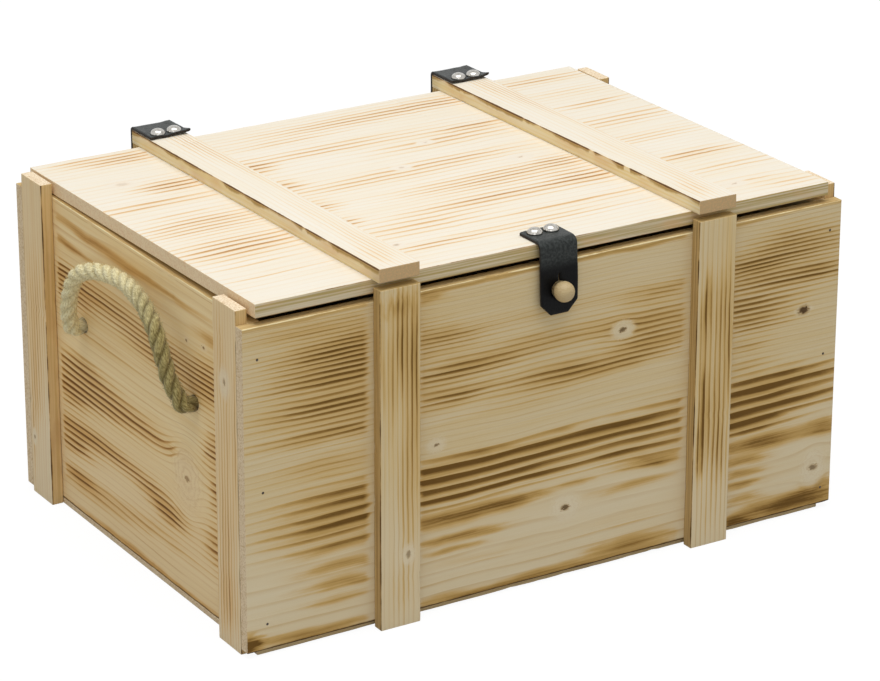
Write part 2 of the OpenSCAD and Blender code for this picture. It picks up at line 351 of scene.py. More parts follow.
def finish_piece(obj, material, body, slot_name, *nodes):
    """What a rigid piece needs: its material, body, slot and the CAD nodes it stands for."""
    obj.data.materials.append(material)
    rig.ride(obj, body)
    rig.slot(obj, slot_name)
    if nodes:
        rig.replaces(obj, *nodes)
    return obj


def on_lid(point):
    """A point of the shut lid, moved to where the ajar lid holds it."""
    x, y, z = point
    dy, dz = y - HINGE_Y, z - HINGE_Z
    c, s = math.cos(LID_AJAR), math.sin(LID_AJAR)
    return Vector((x, HINGE_Y + dy * c + dz * s, HINGE_Z - dy * s + dz * c))


def smoothstep(low, high, value):
    t = min(max((value - low) / (high - low), 0.0), 1.0)
    return t * t * (3 - 2 * t)


def lengths_along(points, start=0.0):
    """The length of the line through the points, up to each of them."""
    return list(accumulate(((b - a).length for a, b in zip(points, points[1:])), initial=start))


def catmull_rom(points, step):
    """A smooth curve through the points, as points about one step apart."""
    ends = [2 * points[0] - points[1]] + list(points) + [2 * points[-1] - points[-2]]
    curve = []
    for a, b, c, d in zip(ends, ends[1:], ends[2:], ends[3:]):
        count = max(2, round((c - b).length / step * 4))
        for k in range(count):
            t = k / count
            curve.append(0.5 * (
                2 * b + (c - a) * t + (2 * a - 5 * b + 4 * c - d) * t * t
                + (3 * b - a - 3 * c + d) * t ** 3
            ))
    curve.append(Vector(points[-1]))
    return resample(curve, step)


def resample(curve, step):
    """The same curve as points that are evenly spaced."""
    lengths = lengths_along(curve)
    count = max(2, round(lengths[-1] / step))
    result, k = [], 0
    for i in range(count + 1):
        target = lengths[-1] * i / count
        while k < len(curve) - 2 and lengths[k + 1] < target:
            k += 1
        span = lengths[k + 1] - lengths[k]
        result.append(curve[k].lerp(curve[k + 1], (target - lengths[k]) / span if span else 0.0))
    return result


def frames_along(curve):
    """(point, tangent, side, normal) along a curve, without needless turning."""
    side = None
    result = []
    for before, point, after in zip(curve[:1] + curve, curve, curve[1:] + curve[-1:]):
        tangent = (after - before).normalized()
        if side is None:
            side = tangent.orthogonal().normalized()
        side = (side - tangent * side.dot(tangent)).normalized()
        result.append((point, tangent, side, tangent.cross(side)))
    return result


# ---- Rope handles ----

def strand_radius(angle, radius):
    """Radius of a three-strand rope's outline at an angle round it, and how deep in a groove."""
    strand_r = radius * STRAND_SHARE
    offset = radius - strand_r
    phase = (angle * STRANDS / (2 * math.pi)) % 1.0
    lobe = (phase - 0.5) * 2 * math.pi / STRANDS
    r = offset * math.cos(lobe) + math.sqrt(strand_r ** 2 - (offset * math.sin(lobe)) ** 2)
    return r, abs(phase - 0.5) * 2


def rope_mesh(name, curve, radius, seed, start=0.0):
    """A laid rope of three strands of twisted yarns; its UVs count from start along it."""
    phase = random.Random(seed).uniform(0, 1)
    bm = bmesh.new()
    uv = bm.loops.layers.uv.new("UVMap")
    groove_layer = bm.verts.layers.float.new("groove")
    rings = []
    lengths = lengths_along(curve, start)
    for travelled, (point, _, side, normal) in zip(lengths, frames_along(curve)):
        twist = 2 * math.pi * (travelled / ROPE_LAY + phase)
        swell = 1 + 0.025 * noise.noise(Vector((travelled * 0.05, seed, 0)))
        ring = []
        for k in range(ROPE_SIDES):
            angle = 2 * math.pi * k / ROPE_SIDES
            r, groove = strand_radius(angle - twist, radius * swell)
            yarn = math.sin((angle - twist) * 12 + travelled * 0.75)
            r += 0.11 * yarn * (1.15 - groove)
            r += 0.28 * noise.noise(Vector((travelled * 0.16, angle * 4, seed + 3)))
            vert = bm.verts.new(point + (math.cos(angle) * side + math.sin(angle) * normal) * r)
            vert[groove_layer] = groove
            ring.append(vert)
        rings.append((ring, travelled))
    for (ring, first), (following, last) in zip(rings, rings[1:]):
        for k in range(ROPE_SIDES):
            n = (k + 1) % ROPE_SIDES
            face = bm.faces.new((ring[k], ring[n], following[n], following[k]))
            corners = ((k, first), (k + 1, first), (k + 1, last), (k, last))
            for loop, (u, v) in zip(face.loops, corners):
                loop[uv].uv = (u / ROPE_SIDES, v / UV_MM)
    for ring, _ in (rings[0], rings[-1]):
        bm.faces.new(ring)
    return new_object(name, bm)


def fuzz_mesh(name, curve, radius, seed):
    """Loose fibres that stand off a rope: thin three-sided hairs, each with one bend."""
    rng = random.Random(seed)
    frames = frames_along(curve)
    length = lengths_along(curve)[-1]
    verts, faces, uvs = [], [], []
    for _ in range(round(FUZZ_PER_MM * length)):
        share = rng.uniform(0.05, 0.95)
        point, tangent, side, normal = frames[round(share * (len(frames) - 1))]
        angle = rng.uniform(0, 2 * math.pi)
        out = math.cos(angle) * side + math.sin(angle) * normal
        beside = tangent.cross(out)
        sweep = tangent * rng.choice((-1, 1)) * rng.uniform(0.3, 1.6)
        sweep += beside * rng.uniform(-0.8, 0.8)
        reach = rng.uniform(1.0, 3.0)
        thickness = rng.uniform(0.09, 0.16)
        base = point + out * radius * rng.uniform(0.74, 0.98)
        bend = base + (out * 0.7 + sweep * 0.6).normalized() * reach * 0.55
        tip = base + (out * 0.4 + sweep).normalized() * reach
        first = len(verts)
        for place, taper in ((base, 1.0), (bend, 0.8), (tip, 0.25)):
            for k in range(3):
                spoke = math.cos(2.1 * k) * beside + math.sin(2.1 * k) * tangent
                verts.append((place + spoke * (thickness * taper)) * MM)
        for row in (first, first + 3):
            for k in range(3):
                n = (k + 1) % 3
                faces.append((row + k, row + n, row + 3 + n, row + 3 + k))
        faces.append((first + 2, first + 1, first))
        faces.append((first + 6, first + 7, first + 8))
        uvs += [angle / (2 * math.pi), share * length / UV_MM] * 30
    mesh = bpy.data.meshes.new(name)
    mesh.from_pydata(verts, [], faces)
    mesh.uv_layers.new(name="UVMap").data.foreach_set("uv", uvs)
    return in_scene(name, mesh)


def handle_points(side):
    """The rope's route from the front knot to the rear one, on one end of the box."""
    half = [Vector((side * x, -ROPE_Y, ROPE_Z)) for x in ROPE_LEAD_X]
    half += [Vector((side * (ROPE_BEND_X + out), -(ROPE_Y - back), ROPE_Z + up))
             for out, back, up in HANDLE_ROUTE]
    return half + [Vector((p.x, -p.y, p.z)) for p in reversed(half[:-1])]


def knot_points(side, y):
    """A stopper knot behind the panel: two leaning turns round the rope, and its tail."""
    points = [Vector((ROPE_LEAD_X[0] + 0.6, 0, 0)), Vector((219.0, 1.5, -0.5))]
    turns_from_x, turns_width = 216.4, 5.6
    steps = 20
    for i in range(steps + 1):
        share = i / steps
        angle = 4 * math.pi * share
        lean = math.radians(8 - 22 * share)
        radius = KNOT_TURN_R * min(1.0, 0.45 + 4 * share, 0.45 + 4 * (1 - share))
        x = turns_from_x - turns_width * share + radius * math.sin(lean) * math.cos(angle)
        points.append(Vector((x, radius * math.sin(angle), radius * math.cos(angle))))
    points += [Vector((208.6, -0.8, 1.2)), Vector((205.2, 0, 0.2))]
    return [Vector((side * p.x, y + p.y, ROPE_Z + p.z)) for p in points]


def rope_handle(side, word, seed):
    curve = catmull_rom(handle_points(side), ROPE_STEP)
    radius = ROPE_D / 2 * ROPE_LOOSE
    rope = rope_mesh(f"{word}_rope", curve, radius, seed)
    fuzz = fuzz_mesh(f"{word}_rope_fuzz", curve, radius, seed + 1)
    start, end = ((side * x, 0, z) for x, z in HANDLE_BLEND)
    for piece in (rope, fuzz):
        piece.data.materials.append(jute())
        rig.blend(piece, "box", f"{word}_handle", start=start, end=end)
        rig.slot(piece, "jute_rope")
    knots = []
    for place, y in (("front", -ROPE_Y), ("rear", ROPE_Y)):
        knot_curve = catmull_rom(knot_points(side, y), 1.0)
        knot = rope_mesh(f"{word}_{place}_rope_knot", knot_curve, KNOT_ROPE_D / 2, seed + 5,
                         start=HANDLE_HALF_L / 2)
        knots.append(finish_piece(knot, jute(), "box", "jute_rope"))
    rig.replaces(rope, f"{word}_rope_handle")
    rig.replaces(knots[0], f"{word}_rope_ends")
    path = [tuple(p * MM) for p in curve]
    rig.cord(
        rope, exit=path[0], length=lengths_along(curve)[-1] * MM, diameter=ROPE_D * MM,
        far_end="object", stiffness="medium", lay="loose", path=path, with_pieces=knots + [fuzz],
    )


# ---- Materials ----

def operator(operation, swap=False):
    """A method of Field that adds one math node."""
    def method(self, *others):
        values = (self, *others)
        return self.graph.add("ShaderNodeMath", *(values[::-1] if swap else values),
                              operation=operation)
    return method


class Field:
    """A value that varies over a surface, written as a formula and built as nodes."""

    def __init__(self, graph, socket):
        self.graph = graph
        self.socket = socket

    __add__ = __radd__ = operator("ADD")
    __sub__ = operator("SUBTRACT")
    __rsub__ = operator("SUBTRACT", swap=True)
    __mul__ = __rmul__ = operator("MULTIPLY")
    __truediv__ = operator("DIVIDE")
    __abs__ = operator("ABSOLUTE")
    at_least = operator("MAXIMUM")
    times_plus = operator("MULTIPLY_ADD")
    fraction = operator("FRACT")
    floor = operator("FLOOR")
    as_power_of = operator("POWER", swap=True)

    def decay(self):
        """e to the minus this value."""
        return self.as_power_of(math.exp(-1))

    def smooth(self, low, high):
        """0 below low, 1 above high, and an even S between them."""
        return self.graph.add("ShaderNodeMapRange", self, low, high,
                              interpolation_type="SMOOTHSTEP")


class Graph:
    """The node tree of a material or of the world."""

    def __init__(self, owner, shader="Principled BSDF"):
        owner.use_nodes = True
        self.owner = owner
        self.tree = owner.node_tree
        self.shader = self.tree.nodes[shader]

    def add(self, kind, *values, output=0, **settings):
        """Adds a node, fills its inputs in order and gives one of its outputs."""
        node = self.tree.nodes.new(kind)
        for name, value in settings.items():
            setattr(node, name, value)
        for value, socket in zip(values, node.inputs):
            self.connect(value, socket)
        return Field(self, node.outputs[output])

    def connect(self, value, socket):
        """Feeds a socket: with a field, a constant, or not at all if the value is None."""
        if isinstance(value, Field):
            self.tree.links.new(value.socket, socket)
        elif value is not None:
            socket.default_value = value

    def vector(self, x, y, z=0.0):
        return self.add("ShaderNodeCombineXYZ", x, y, z)

    def coordinates(self, output="Object", scale=1 / MM):
        """Texture coordinates; object coordinates come out in millimetres."""
        source = self.add("ShaderNodeTexCoord", output=output)
        return self.add("ShaderNodeVectorMath", source, None, None, scale, operation="SCALE")

    def dot(self, vector, coefficients):
        return self.add("ShaderNodeVectorMath", vector, coefficients, output="Value",
                        operation="DOT_PRODUCT")

    def linear(self, position, form):
        """A linear form of the position: x, y, z and constant factors."""
        value = self.dot(position, form[:3])
        return value + form[3] if form[3] else value

    def bell(self, vector, centre, sizes):
        """1 at the centre, falling off like a bell over an ellipse of these half sizes."""
        scaled = self.add(
            "ShaderNodeVectorMath", vector, (1 / sizes[0], 1 / sizes[1], 0),
            (-centre[0] / sizes[0], -centre[1] / sizes[1], 0), operation="MULTIPLY_ADD",
        )
        return self.dot(scaled, scaled).decay()

    def noise(self, vector, detail=2.0, roughness=0.5, scale=1.0):
        return self.add("ShaderNodeTexNoise", vector, None, scale, detail, roughness)

    def random(self, value, seed):
        """One random number for each whole value."""
        return self.add("ShaderNodeTexWhiteNoise", self.vector(value, seed),
                        noise_dimensions="2D")

    def mix(self, factor, first, second):
        """Colour between two: either may be a colour as written or a field."""
        colours = [value if isinstance(value, Field) else linear_colour(value)
                   for value in (first, second)]
        return self.add("ShaderNodeMix", factor, *[None] * MIX_SKIPPED, *colours,
                        output=MIX_OUTPUT, data_type="RGBA")

    def curve(self, value, points):
        """A value looked up on a smooth curve through points, both axes from 0 to 1."""
        result = self.add("ShaderNodeFloatCurve", None, value)
        mapping = result.socket.node.mapping
        own = mapping.curves[0].points
        own[0].location = points[0]
        own[-1].location = points[-1]
        for point in points[1:-1]:
            own.new(*point)
        mapping.update()
        return result

    def bump(self, height, depth_mm):
        node = self.tree.nodes.new("ShaderNodeBump")
        self.connect(height, node.inputs["Height"])
        self.connect(1.0, node.inputs["Strength"])
        self.connect(depth_mm * MM, node.inputs["Distance"])
        self.tree.links.new(node.outputs["Normal"], self.shader.inputs["Normal"])

    def surface(self, colour, roughness, **constants):
        self.connect(colour, self.shader.inputs["Base Color"])
        self.connect(roughness, self.shader.inputs["Roughness"])
        for name, value in constants.items():
            self.shader.inputs[name.replace("_", " ")].default_value = value
        return self.owner


def material_graph(name):
    return Graph(bpy.data.materials.new(name))


def linear_colour(srgb):
    """A colour written as 0 to 255 sRGB, as Blender's linear RGBA."""
    def channel(value):
        c = value / 255
        return c / 12.92 if c <= 0.04045 else ((c + 0.055) / 1.055) ** 2.4
    return (*[channel(value) for value in srgb], 1.0)


# Height over which the wood turns paler towards the floor: painted bounce light from the floor
PAINTED_BOUNCE_BELOW = (45, 125)

# Pine palettes, from clean wood through singed and burnt ring lines to char
# FLAMED's last colour is a painted highlight for the panels' top arris.
FLAMED = dict(
    pale=(227, 210, 172), honey=(222, 197, 144), ring=(204, 170, 112), singe=(214, 178, 112),
    burn=(176, 138, 74), dark=(114, 82, 32), char=(78, 56, 30), halo=(234, 222, 194),
    end=(232, 212, 180), side=(186, 152, 92), bright=(246, 230, 182),
)
# LEFT_END is warmer and more saturated than FLAMED: partly the end boards' own tone, partly painted warm bounce light
# on the ends
LEFT_END = dict(
    FLAMED, pale=(248, 226, 178), honey=(238, 205, 142), ring=(206, 162, 100),
    singe=(224, 182, 114), burn=(186, 136, 70), dark=(118, 76, 30), halo=(240, 216, 174),
    char=(110, 76, 40),
)
BATTEN = dict(FLAMED, end=(178, 150, 94), side=(156, 121, 64), honey=(224, 194, 134))
# CLEAT's end colour is very pale: a painted highlight for the light on the cleats' top end grain
CLEAT = dict(
    FLAMED, pale=(240, 220, 180), honey=(232, 202, 150), ring=(208, 162, 108),
    singe=(226, 188, 128), burn=(190, 146, 88), dark=(132, 90, 46), end=(252, 236, 208),
    side=(206, 172, 108),
)
# The lid's palettes: the same pine as the panels, paler and cooler, a painted highlight for the overhead light on the
# lid
PAINTED_LIT_CREAM = dict(
    pale=(242, 236, 223), honey=(241, 229, 205), ring=(236, 212, 176), singe=(238, 212, 172),
    burn=(224, 182, 130), dark=(182, 134, 82), char=(104, 74, 42), halo=(240, 230, 214),
    end=(244, 220, 178), side=(186, 163, 104),
)
LID_BATTEN = dict(PAINTED_LIT_CREAM, end=(198, 170, 126), side=(234, 210, 150), shade=(178, 146, 84))


def ring_phase(graph, across, spacings):
    """Number of growth rings below a place, from (place, ring spacing) pairs in order."""
    start, end = spacings[0][0], spacings[-1][0]
    counted, table = 0.0, [(start, 0.0)]
    steps = 4
    for (a, first), (b, second) in zip(spacings, spacings[1:]):
        for k in range(steps):
            middle = first + (second - first) * (k + 0.5) / steps
            counted += (b - a) / steps / middle
            table.append((a + (b - a) * (k + 1) / steps, counted))
    points = [((place - start) / (end - start), rings / counted) for place, rings in table]
    return graph.curve((across - start) / (end - start), points) * counted


def pine(name, grain, palette, spacings, patches=(), knots=(), arrises=(), shields=(), seed=0.0,
         wave=2.5, burnt_depth=2.0, soak=0.16, breadth=1.0, side_toast=0.8, end_toast=0.85):
    """Flame-brushed pine.

    grain: the along, across and depth coordinates as linear forms; depth is 0 on the face.
    spacings: (across, ring spacing) pairs.
    patches: (along, across, half length, half width, burnt lines, toast) of the flame's passes; a few bands of toast
    are painted shade under the lid.
    knots: (along, across, radius, halo along, halo across, darkness, spread of the grain).
    arrises: (across, depth, reach on the face, reach on the side, strength, tone) of edges.
    shields: (along, half width, margin) of strips that kept the flame off the panel.
    seed: moves every noise, so that no two boards are alike.
    wave: how strongly the grain wanders across the board.
    burnt_depth: how deep below the face the flame's passes reach down the sides.
    soak: how much the wood between the burnt lines takes on their colour.
    breadth: how far the burnt lines widen where the flame was hot.
    side_toast, end_toast: how strongly the narrow sides and the end grain have tones of their own.
    """
    graph = material_graph(name)
    position = graph.coordinates()
    normal = graph.coordinates("Normal", 1.0)
    along, across, depth = (graph.linear(position, form) for form in grain)

    def figure(x, y, z=seed, detail=2.0, roughness=0.5):
        return graph.noise(graph.vector(x, y, z), detail, roughness)

    def shifted(first, far_along, second, far_across):
        """The place on the face, moved about by two noises."""
        return graph.vector(along + (first - 0.5) * far_along, across + (second - 0.5) * far_across)

    # The grain wanders slowly along the board and parts round each knot
    wander = figure(along / 170, across / 80, detail=1.0) - 0.5
    ripple = figure(along / 42, across / 12, seed + 4, 1.0) - 0.5
    spread = figure(along / 60, across / 30, seed + 2)
    ring_place = across + wander * (4 * wave) + ripple * 1.6
    bent = shifted(spread, 14, spread, 9)
    halos = None
    for *place, _, halo_l, halo_w, _, parting in knots:
        near = graph.bell(bent, place, (halo_l, halo_w))
        ring_place = ring_place - (ring_place - place[1]) * near * parting
        halos = near if halos is None else halos.at_least(near)
    phase = ring_phase(graph, ring_place + depth * 0.45, spacings)
    ring = phase.floor()
    share = phase.fraction()

    # Where the flame passed, and a few bands of painted shade under the lid: the listed patches, with ragged edges
    ragged = figure(along / 22, across / 4.5, seed + 9, 3.0, 0.6)
    edge = shifted(ragged, 30, spread, 9)
    lines, toast_and_shade = ragged * 0, ragged * 0
    for *place, length, width, line, scorch_and_shade in patches:
        pass_over = graph.bell(edge, place, (length, width))
        lines = pass_over.times_plus(line, lines)
        toast_and_shade = pass_over.times_plus(scorch_and_shade, toast_and_shade)
    clear = 1.0 - depth.smooth(burnt_depth * 0.5, burnt_depth * 1.5)
    for place, half_width, margin in shields:
        away = abs(along + (ragged - 0.5) * 7 - place)
        clear = clear * away.smooth(half_width, half_width + margin)
    if halos is not None:
        clear = clear * (1.0 - halos.smooth(0.25, 0.6) * 0.9)

    # Fibres, faint narrow grain lines and slow colour drift
    fibres = figure(along / 9, across / 0.5, depth / 0.5, roughness=0.6)
    fleck = figure(along / 3.2, across / 0.28, depth / 0.3, 1.0)
    hairlines = figure(along / 150, across / 1.5, depth / 1.5, 3.0, 0.65)
    drifted = figure(along / 110, across / 26, seed + 7).smooth(0.3, 0.75)
    streaks = figure(along / 240, across / 6, seed + 5).smooth(0.35, 0.7)

    # Each ring has its own strength, which drifts along the board; it burns from its soft
    # lower side up to a sharp upper edge, wider where the flame was hotter
    own = graph.random(ring, seed + 1.5)
    drift = figure(along / 85, ring * 3.7)
    lines = 1.0 - (lines * clear * 1.1).decay()
    lines = (lines * ((drift - 0.5) * 0.8 + (own - 0.5) * 0.35 + 1.0)).at_least(0.0)
    heat = lines.smooth(0.1, 1.0)
    widen = heat * breadth
    late = share.smooth(0.54 - widen * 0.46, 0.88 - widen * 0.26) * (1.0 - share.smooth(0.88, 0.99))
    fine = share.smooth(0.6, 0.9) * (1.0 - share.smooth(0.93, 0.99))
    between = hairlines.smooth(0.35, 0.65)
    burnt = lines * (late * 0.85 + (between * 0.6 + 0.7) * soak)
    burnt = burnt + toast_and_shade * clear * (between * 0.25 + fibres * 0.2 + 0.55)
    burnt = burnt * (fleck * 0.24 + 0.88)

    warmth = drifted * 0.3 + streaks * 0.3 + between * 0.35 + fibres * 0.1
    colour = graph.mix(warmth, palette["pale"], palette["honey"])

    def tint(amount, tone):
        nonlocal colour
        colour = graph.mix(amount, colour, palette[tone])

    # Painted bounce light: the wood turns paler towards the floor
    tint((1.0 - graph.dot(position, UP).smooth(*PAINTED_BOUNCE_BELOW)) * 0.45, "halo")
    tint(fine * (own * 0.5 + 0.2) * drift.smooth(0.15, 0.75), "ring")
    for low, high, tone in ((0.0, 0.36, "singe"), (0.2, 0.68, "burn"), (0.5, 0.95, "dark")):
        tint(burnt.smooth(low, high), tone)

    # Knots: a pale halo of curling grain round a torn dark heart
    speck = figure(along / 2.2, across / 1.1, roughness=0.6)
    torn = shifted(speck, 7, speck, 3)
    curl = shifted(ragged, 12, speck, 9)
    for *place, radius, halo_l, halo_w, dark, parting in knots:
        near = graph.bell(curl, place, (halo_l, halo_w))
        turns = (near * 5.0 + speck * 0.8).fraction().smooth(0.55, 0.95) * near.smooth(0.2, 0.5)
        heart = graph.bell(torn, place, (radius * 1.5, radius))
        tint(near.smooth(0.2, 0.75) * 0.5, "halo")
        tint(turns * parting * 0.3, "ring")
        tint(heart.smooth(0.1, 0.5) * (dark * 0.6 + 0.1), "burn")
        tint(heart.smooth(0.4, 0.75) * dark, "char")

    # Narrow side faces: lengthwise lines and scorched stretches on singed wood
    side = abs(graph.dot(normal, grain[1][:3])).smooth(0.6, 0.8)
    edge_lines = figure(along / 130, depth / 1.4, seed + 6)
    scorch = figure(along / 34, depth / 12, seed + 8)
    side_colour = graph.mix(edge_lines.smooth(0.35, 0.65) * 0.6, palette["side"], palette["honey"])
    side_colour = graph.mix(scorch.smooth(0.48, 0.72) * 0.5, side_colour, palette["burn"])
    colour = graph.mix(side * side_toast, colour, side_colour)

    # End grain: dotted pores, with the rings just showing
    end = abs(graph.dot(normal, grain[0][:3])).smooth(0.6, 0.8)
    dots = figure(across / 1.3, depth / 1.3, roughness=0.7)
    blotch = figure(across / 9, depth / 5, seed + 3)
    end_shade = dots.smooth(0.42, 0.66) * 0.52 + share.smooth(0.4, 0.9) * 0.08
    end_colour = graph.mix(end_shade + blotch.smooth(0.45, 0.8) * 0.2, palette["end"],
                           palette["burn"])
    colour = graph.mix(end * end_toast, colour, end_colour)

    # Arrises: charred where the flame caught them; a painted highlight on the panels' top arris
    char_noise = figure(along / 16, seed, 0.0, 3.0, 0.6)
    for place, level, on_face, on_side, strength, tone in arrises:
        away = abs(across - place) / on_face + abs(depth - level) / on_side
        reach = char_noise * 1.3 + 0.4
        char_and_highlight = (1.0 - away.smooth(reach * 0.3, reach)) * strength
        if tone == "char":
            tint(char_and_highlight.smooth(0.0, 0.5) * 0.6, "burn")
        tint(char_and_highlight.smooth(0.25, 0.9) * 0.95, tone)

    relief = fine * 0.2 + late * heat * 0.6 + fibres * 0.3 + fleck * 0.12 + hairlines * 0.3
    graph.bump(relief, 0.18)
    return graph.surface(colour, fibres * 0.1 + 0.62, Specular_IOR_Level=0.15)


@cache
def jute():
    """Laid jute: paler on the rear half of a handle and green-brown on the front, partly weathering and partly painted
    light from above; painted shade in the grooves and at the holes.
    """
    graph = material_graph("jute")
    uv = graph.coordinates("UV", 1.0)
    around = graph.dot(uv, (1, 0, 0))
    along = graph.dot(uv, (0, UV_MM, 0))
    groove = graph.add("ShaderNodeAttribute", attribute_name="groove", output="Fac")
    yarn = graph.noise(graph.vector(along / 2.6, around * 40), 3.0, 0.65)
    blotch = graph.noise(graph.vector(along / 14, around * 3, 5.0))
    # The front half darker and greener, the rear paler: partly weathering, partly painted light from above
    blotched_along = along + (blotch - 0.5) * 50
    dirt_and_shade = 1.0 - blotched_along.smooth(HANDLE_HALF_L * 0.45, HANDLE_HALF_L * 1.05)
    bleached_and_lit = graph.mix(yarn.smooth(0.3, 0.7), (206, 190, 138), (254, 247, 206))
    shaded = graph.mix(yarn.smooth(0.3, 0.7), (104, 90, 40), (190, 176, 116))
    colour = graph.mix(dirt_and_shade * 0.95, bleached_and_lit, shaded)
    # Painted shade in the grooves between the strands
    groove_shade = (groove + (yarn - 0.5) * 0.3).smooth(0.55, 1.0)
    colour = graph.mix(groove_shade * (dirt_and_shade * 0.6 + 0.2), colour, (92, 78, 36))
    # Painted shade where the rope goes into its holes
    holes = abs(along - HANDLE_HALF_L).smooth(HANDLE_HALF_L - 18, HANDLE_HALF_L - 9)
    colour = graph.mix(holes * 0.7, colour, (84, 68, 38))
    graph.bump(yarn, 0.5)
    return graph.surface(colour, yarn * 0.1 + 0.82, Specular_IOR_Level=0.15,
                         Sheen_Weight=0.2, Sheen_Roughness=0.5)


@cache
def leather():
    """Black grain leather, with a painted sheen: greyer on its tops and round the top bends."""
    graph = material_graph("black_leather")
    uv = graph.coordinates("UV", UV_MM)
    pebble = graph.add("ShaderNodeTexVoronoi", uv, None, 1.15)
    crease = graph.noise(uv, 5.0, 0.62, 0.5)
    rub = graph.noise(uv, 3.0, 0.55, 0.09)
    colour = graph.mix(rub.smooth(0.42, 0.75) * 0.6, (5, 5, 6), (17, 18, 18))
    colour = graph.mix(pebble.smooth(0.3, 0.75) * 0.5, colour, (5, 5, 5))
    height = graph.dot(graph.coordinates(), UP)
    # Painted sheen: lighter grey on the tops and round the top bends, patchy with the creases
    painted_sheen = height.smooth(230, 241) * (crease.smooth(0.35, 0.7) * 0.5 + 0.35)
    colour = graph.mix(painted_sheen, colour, (72, 76, 74))
    graph.bump(1.0 - pebble.smooth(0.15, 0.8) * 0.25 + crease * 1.6, 0.2)
    return graph.surface(colour, rub * 0.2 + pebble * 0.08 + 0.2, Specular_IOR_Level=0.1)


@cache
def leather_edge():
    """Cut edge of the leather: rough brown-black fibres."""
    graph = material_graph("leather_edge")
    fibres = graph.noise(graph.coordinates(), 3.0, 0.65, 1.6)
    colour = graph.mix(fibres.smooth(0.4, 0.7), (26, 22, 20), (66, 50, 40))
    graph.bump(fibres, 0.2)
    return graph.surface(colour, fibres * 0.15 + 0.7, Specular_IOR_Level=0.3)


@cache
def nickel():
    """Polished nickel plate with faint scratches."""
    graph = material_graph("nickel")
    position = graph.coordinates()
    tarnish = graph.noise(position, 3.0, 0.6, 0.5)
    colour = graph.mix(tarnish.smooth(0.4, 0.75), (196, 193, 187), (150, 146, 138))
    graph.bump(graph.noise(position, 1.0, scale=3.0), 0.012)
    return graph.surface(colour, tarnish * 0.1 + 0.04, Metallic=1.0)


@cache
def brad_steel():
    """Heads of the small wire nails: dull grey with a rusty rim."""
    graph = material_graph("brad_steel")
    rust = graph.noise(graph.coordinates(), 3.0, 0.6, 0.9)
    colour = graph.mix(rust.smooth(0.4, 0.65), (92, 84, 76), (58, 42, 32))
    graph.bump(rust, 0.05)
    return graph.surface(colour, rust * 0.2 + 0.45, Metallic=0.6)


@cache
def beech():
    """Turned beech: fine grain along the dowel, short dark pores."""
    graph = material_graph("beech_knob")
    position = graph.coordinates()
    x, y, z = (graph.dot(position, axis) for axis in ((1, 0, 0), (0, 1, 0), UP))
    rings = (graph.noise(graph.vector(x / 3, y / 24, z / 9)) * 9 + z * 0.55).fraction()
    pores = graph.noise(graph.vector(x / 0.35, y / 2.6, z / 0.35), 1.0).smooth(0.6, 0.72)
    colour = graph.mix(rings.smooth(0.2, 0.95) * 0.5, (197, 176, 132), (178, 150, 102))
    colour = graph.mix(pores * 0.45, colour, (158, 116, 74))
    graph.bump(pores, -0.05)
    return graph.surface(colour, rings * 0.08 + 0.42, Specular_IOR_Level=0.45)


# ---- Boards ----

def rounded_board(name, low, high, seed, arris=ARRIS, holes=(), place=None):
    """A board with eased, slightly worn arrises, cut into short lengths so that they wander."""
    low, high = Vector(low), Vector(high)
    size = high - low
    long_axis = max(range(3), key=lambda i: size[i])
    bm = bmesh.new()
    bmesh.ops.create_cube(bm, size=1.0)
    for vert in bm.verts:
        vert.co = Vector([low[i] + size[i] * (vert.co[i] + 0.5) for i in range(3)])
    long_edges = [
        e for e in bm.edges
        if abs(e.verts[0].co[long_axis] - e.verts[1].co[long_axis]) > size[long_axis] / 2
    ]
    cuts = max(1, round(size[long_axis] / BOARD_STEP))
    bmesh.ops.subdivide_edges(bm, edges=long_edges, cuts=cuts, use_grid_fill=True)
    sharp = [e for e in bm.edges if len(e.link_faces) == 2 and e.calc_face_angle() > 1.0]
    bmesh.ops.bevel(bm, geom=sharp, offset=arris, segments=2, profile=0.6,
                    affect="EDGES", clamp_overlap=True)
    centre = (low + high) / 2
    for vert in bm.verts:
        inset = sorted(min(vert.co[i] - low[i], high[i] - vert.co[i]) for i in range(3))
        if inset[1] < arris * 1.2:
            wear = noise.noise(vert.co * 0.045 + Vector((seed, 0, 0))) + 0.35
            nick = noise.noise(vert.co * 0.31 + Vector((0, seed, 0))) - 0.42
            pull = max(0.0, wear) * ARRIS_WEAR + max(0.0, nick) * 1.6
            for i in range(3):
                reach = min(vert.co[i] - low[i], high[i] - vert.co[i])
                if reach < arris * 1.2 and i != long_axis:
                    vert.co[i] += math.copysign(pull, centre[i] - vert.co[i])
    obj = new_object(name, bm, place=place)
    for hole in holes:
        drill(obj, hole)
    weighted = obj.modifiers.new("weighted", "WEIGHTED_NORMAL")
    weighted.keep_sharp = False
    weighted.weight = 60
    return obj


def drill(obj, centre):
    """Cuts a rope's round hole through an end panel."""
    bm = bmesh.new()
    bmesh.ops.create_cone(bm, cap_ends=True, segments=48, radius1=ROPE_HOLE_D / 2,
                          radius2=ROPE_HOLE_D / 2, depth=PANEL_T * 3)
    turn = Vector(UP).rotation_difference(Vector((1, 0, 0))).to_matrix().to_4x4()
    bm.transform(Matrix.Translation(centre) @ turn)
    cutter = new_object("cutter", bm)
    modifier = obj.modifiers.new("drill", "BOOLEAN")
    modifier.operation = "DIFFERENCE"
    modifier.solver = "EXACT"
    modifier.object = cutter
    cut = obj.evaluated_get(bpy.context.evaluated_depsgraph_get())
    obj.data = bpy.data.meshes.new_from_object(cut)
    obj.modifiers.clear()
    bpy.data.objects.remove(cutter, do_unlink=True)


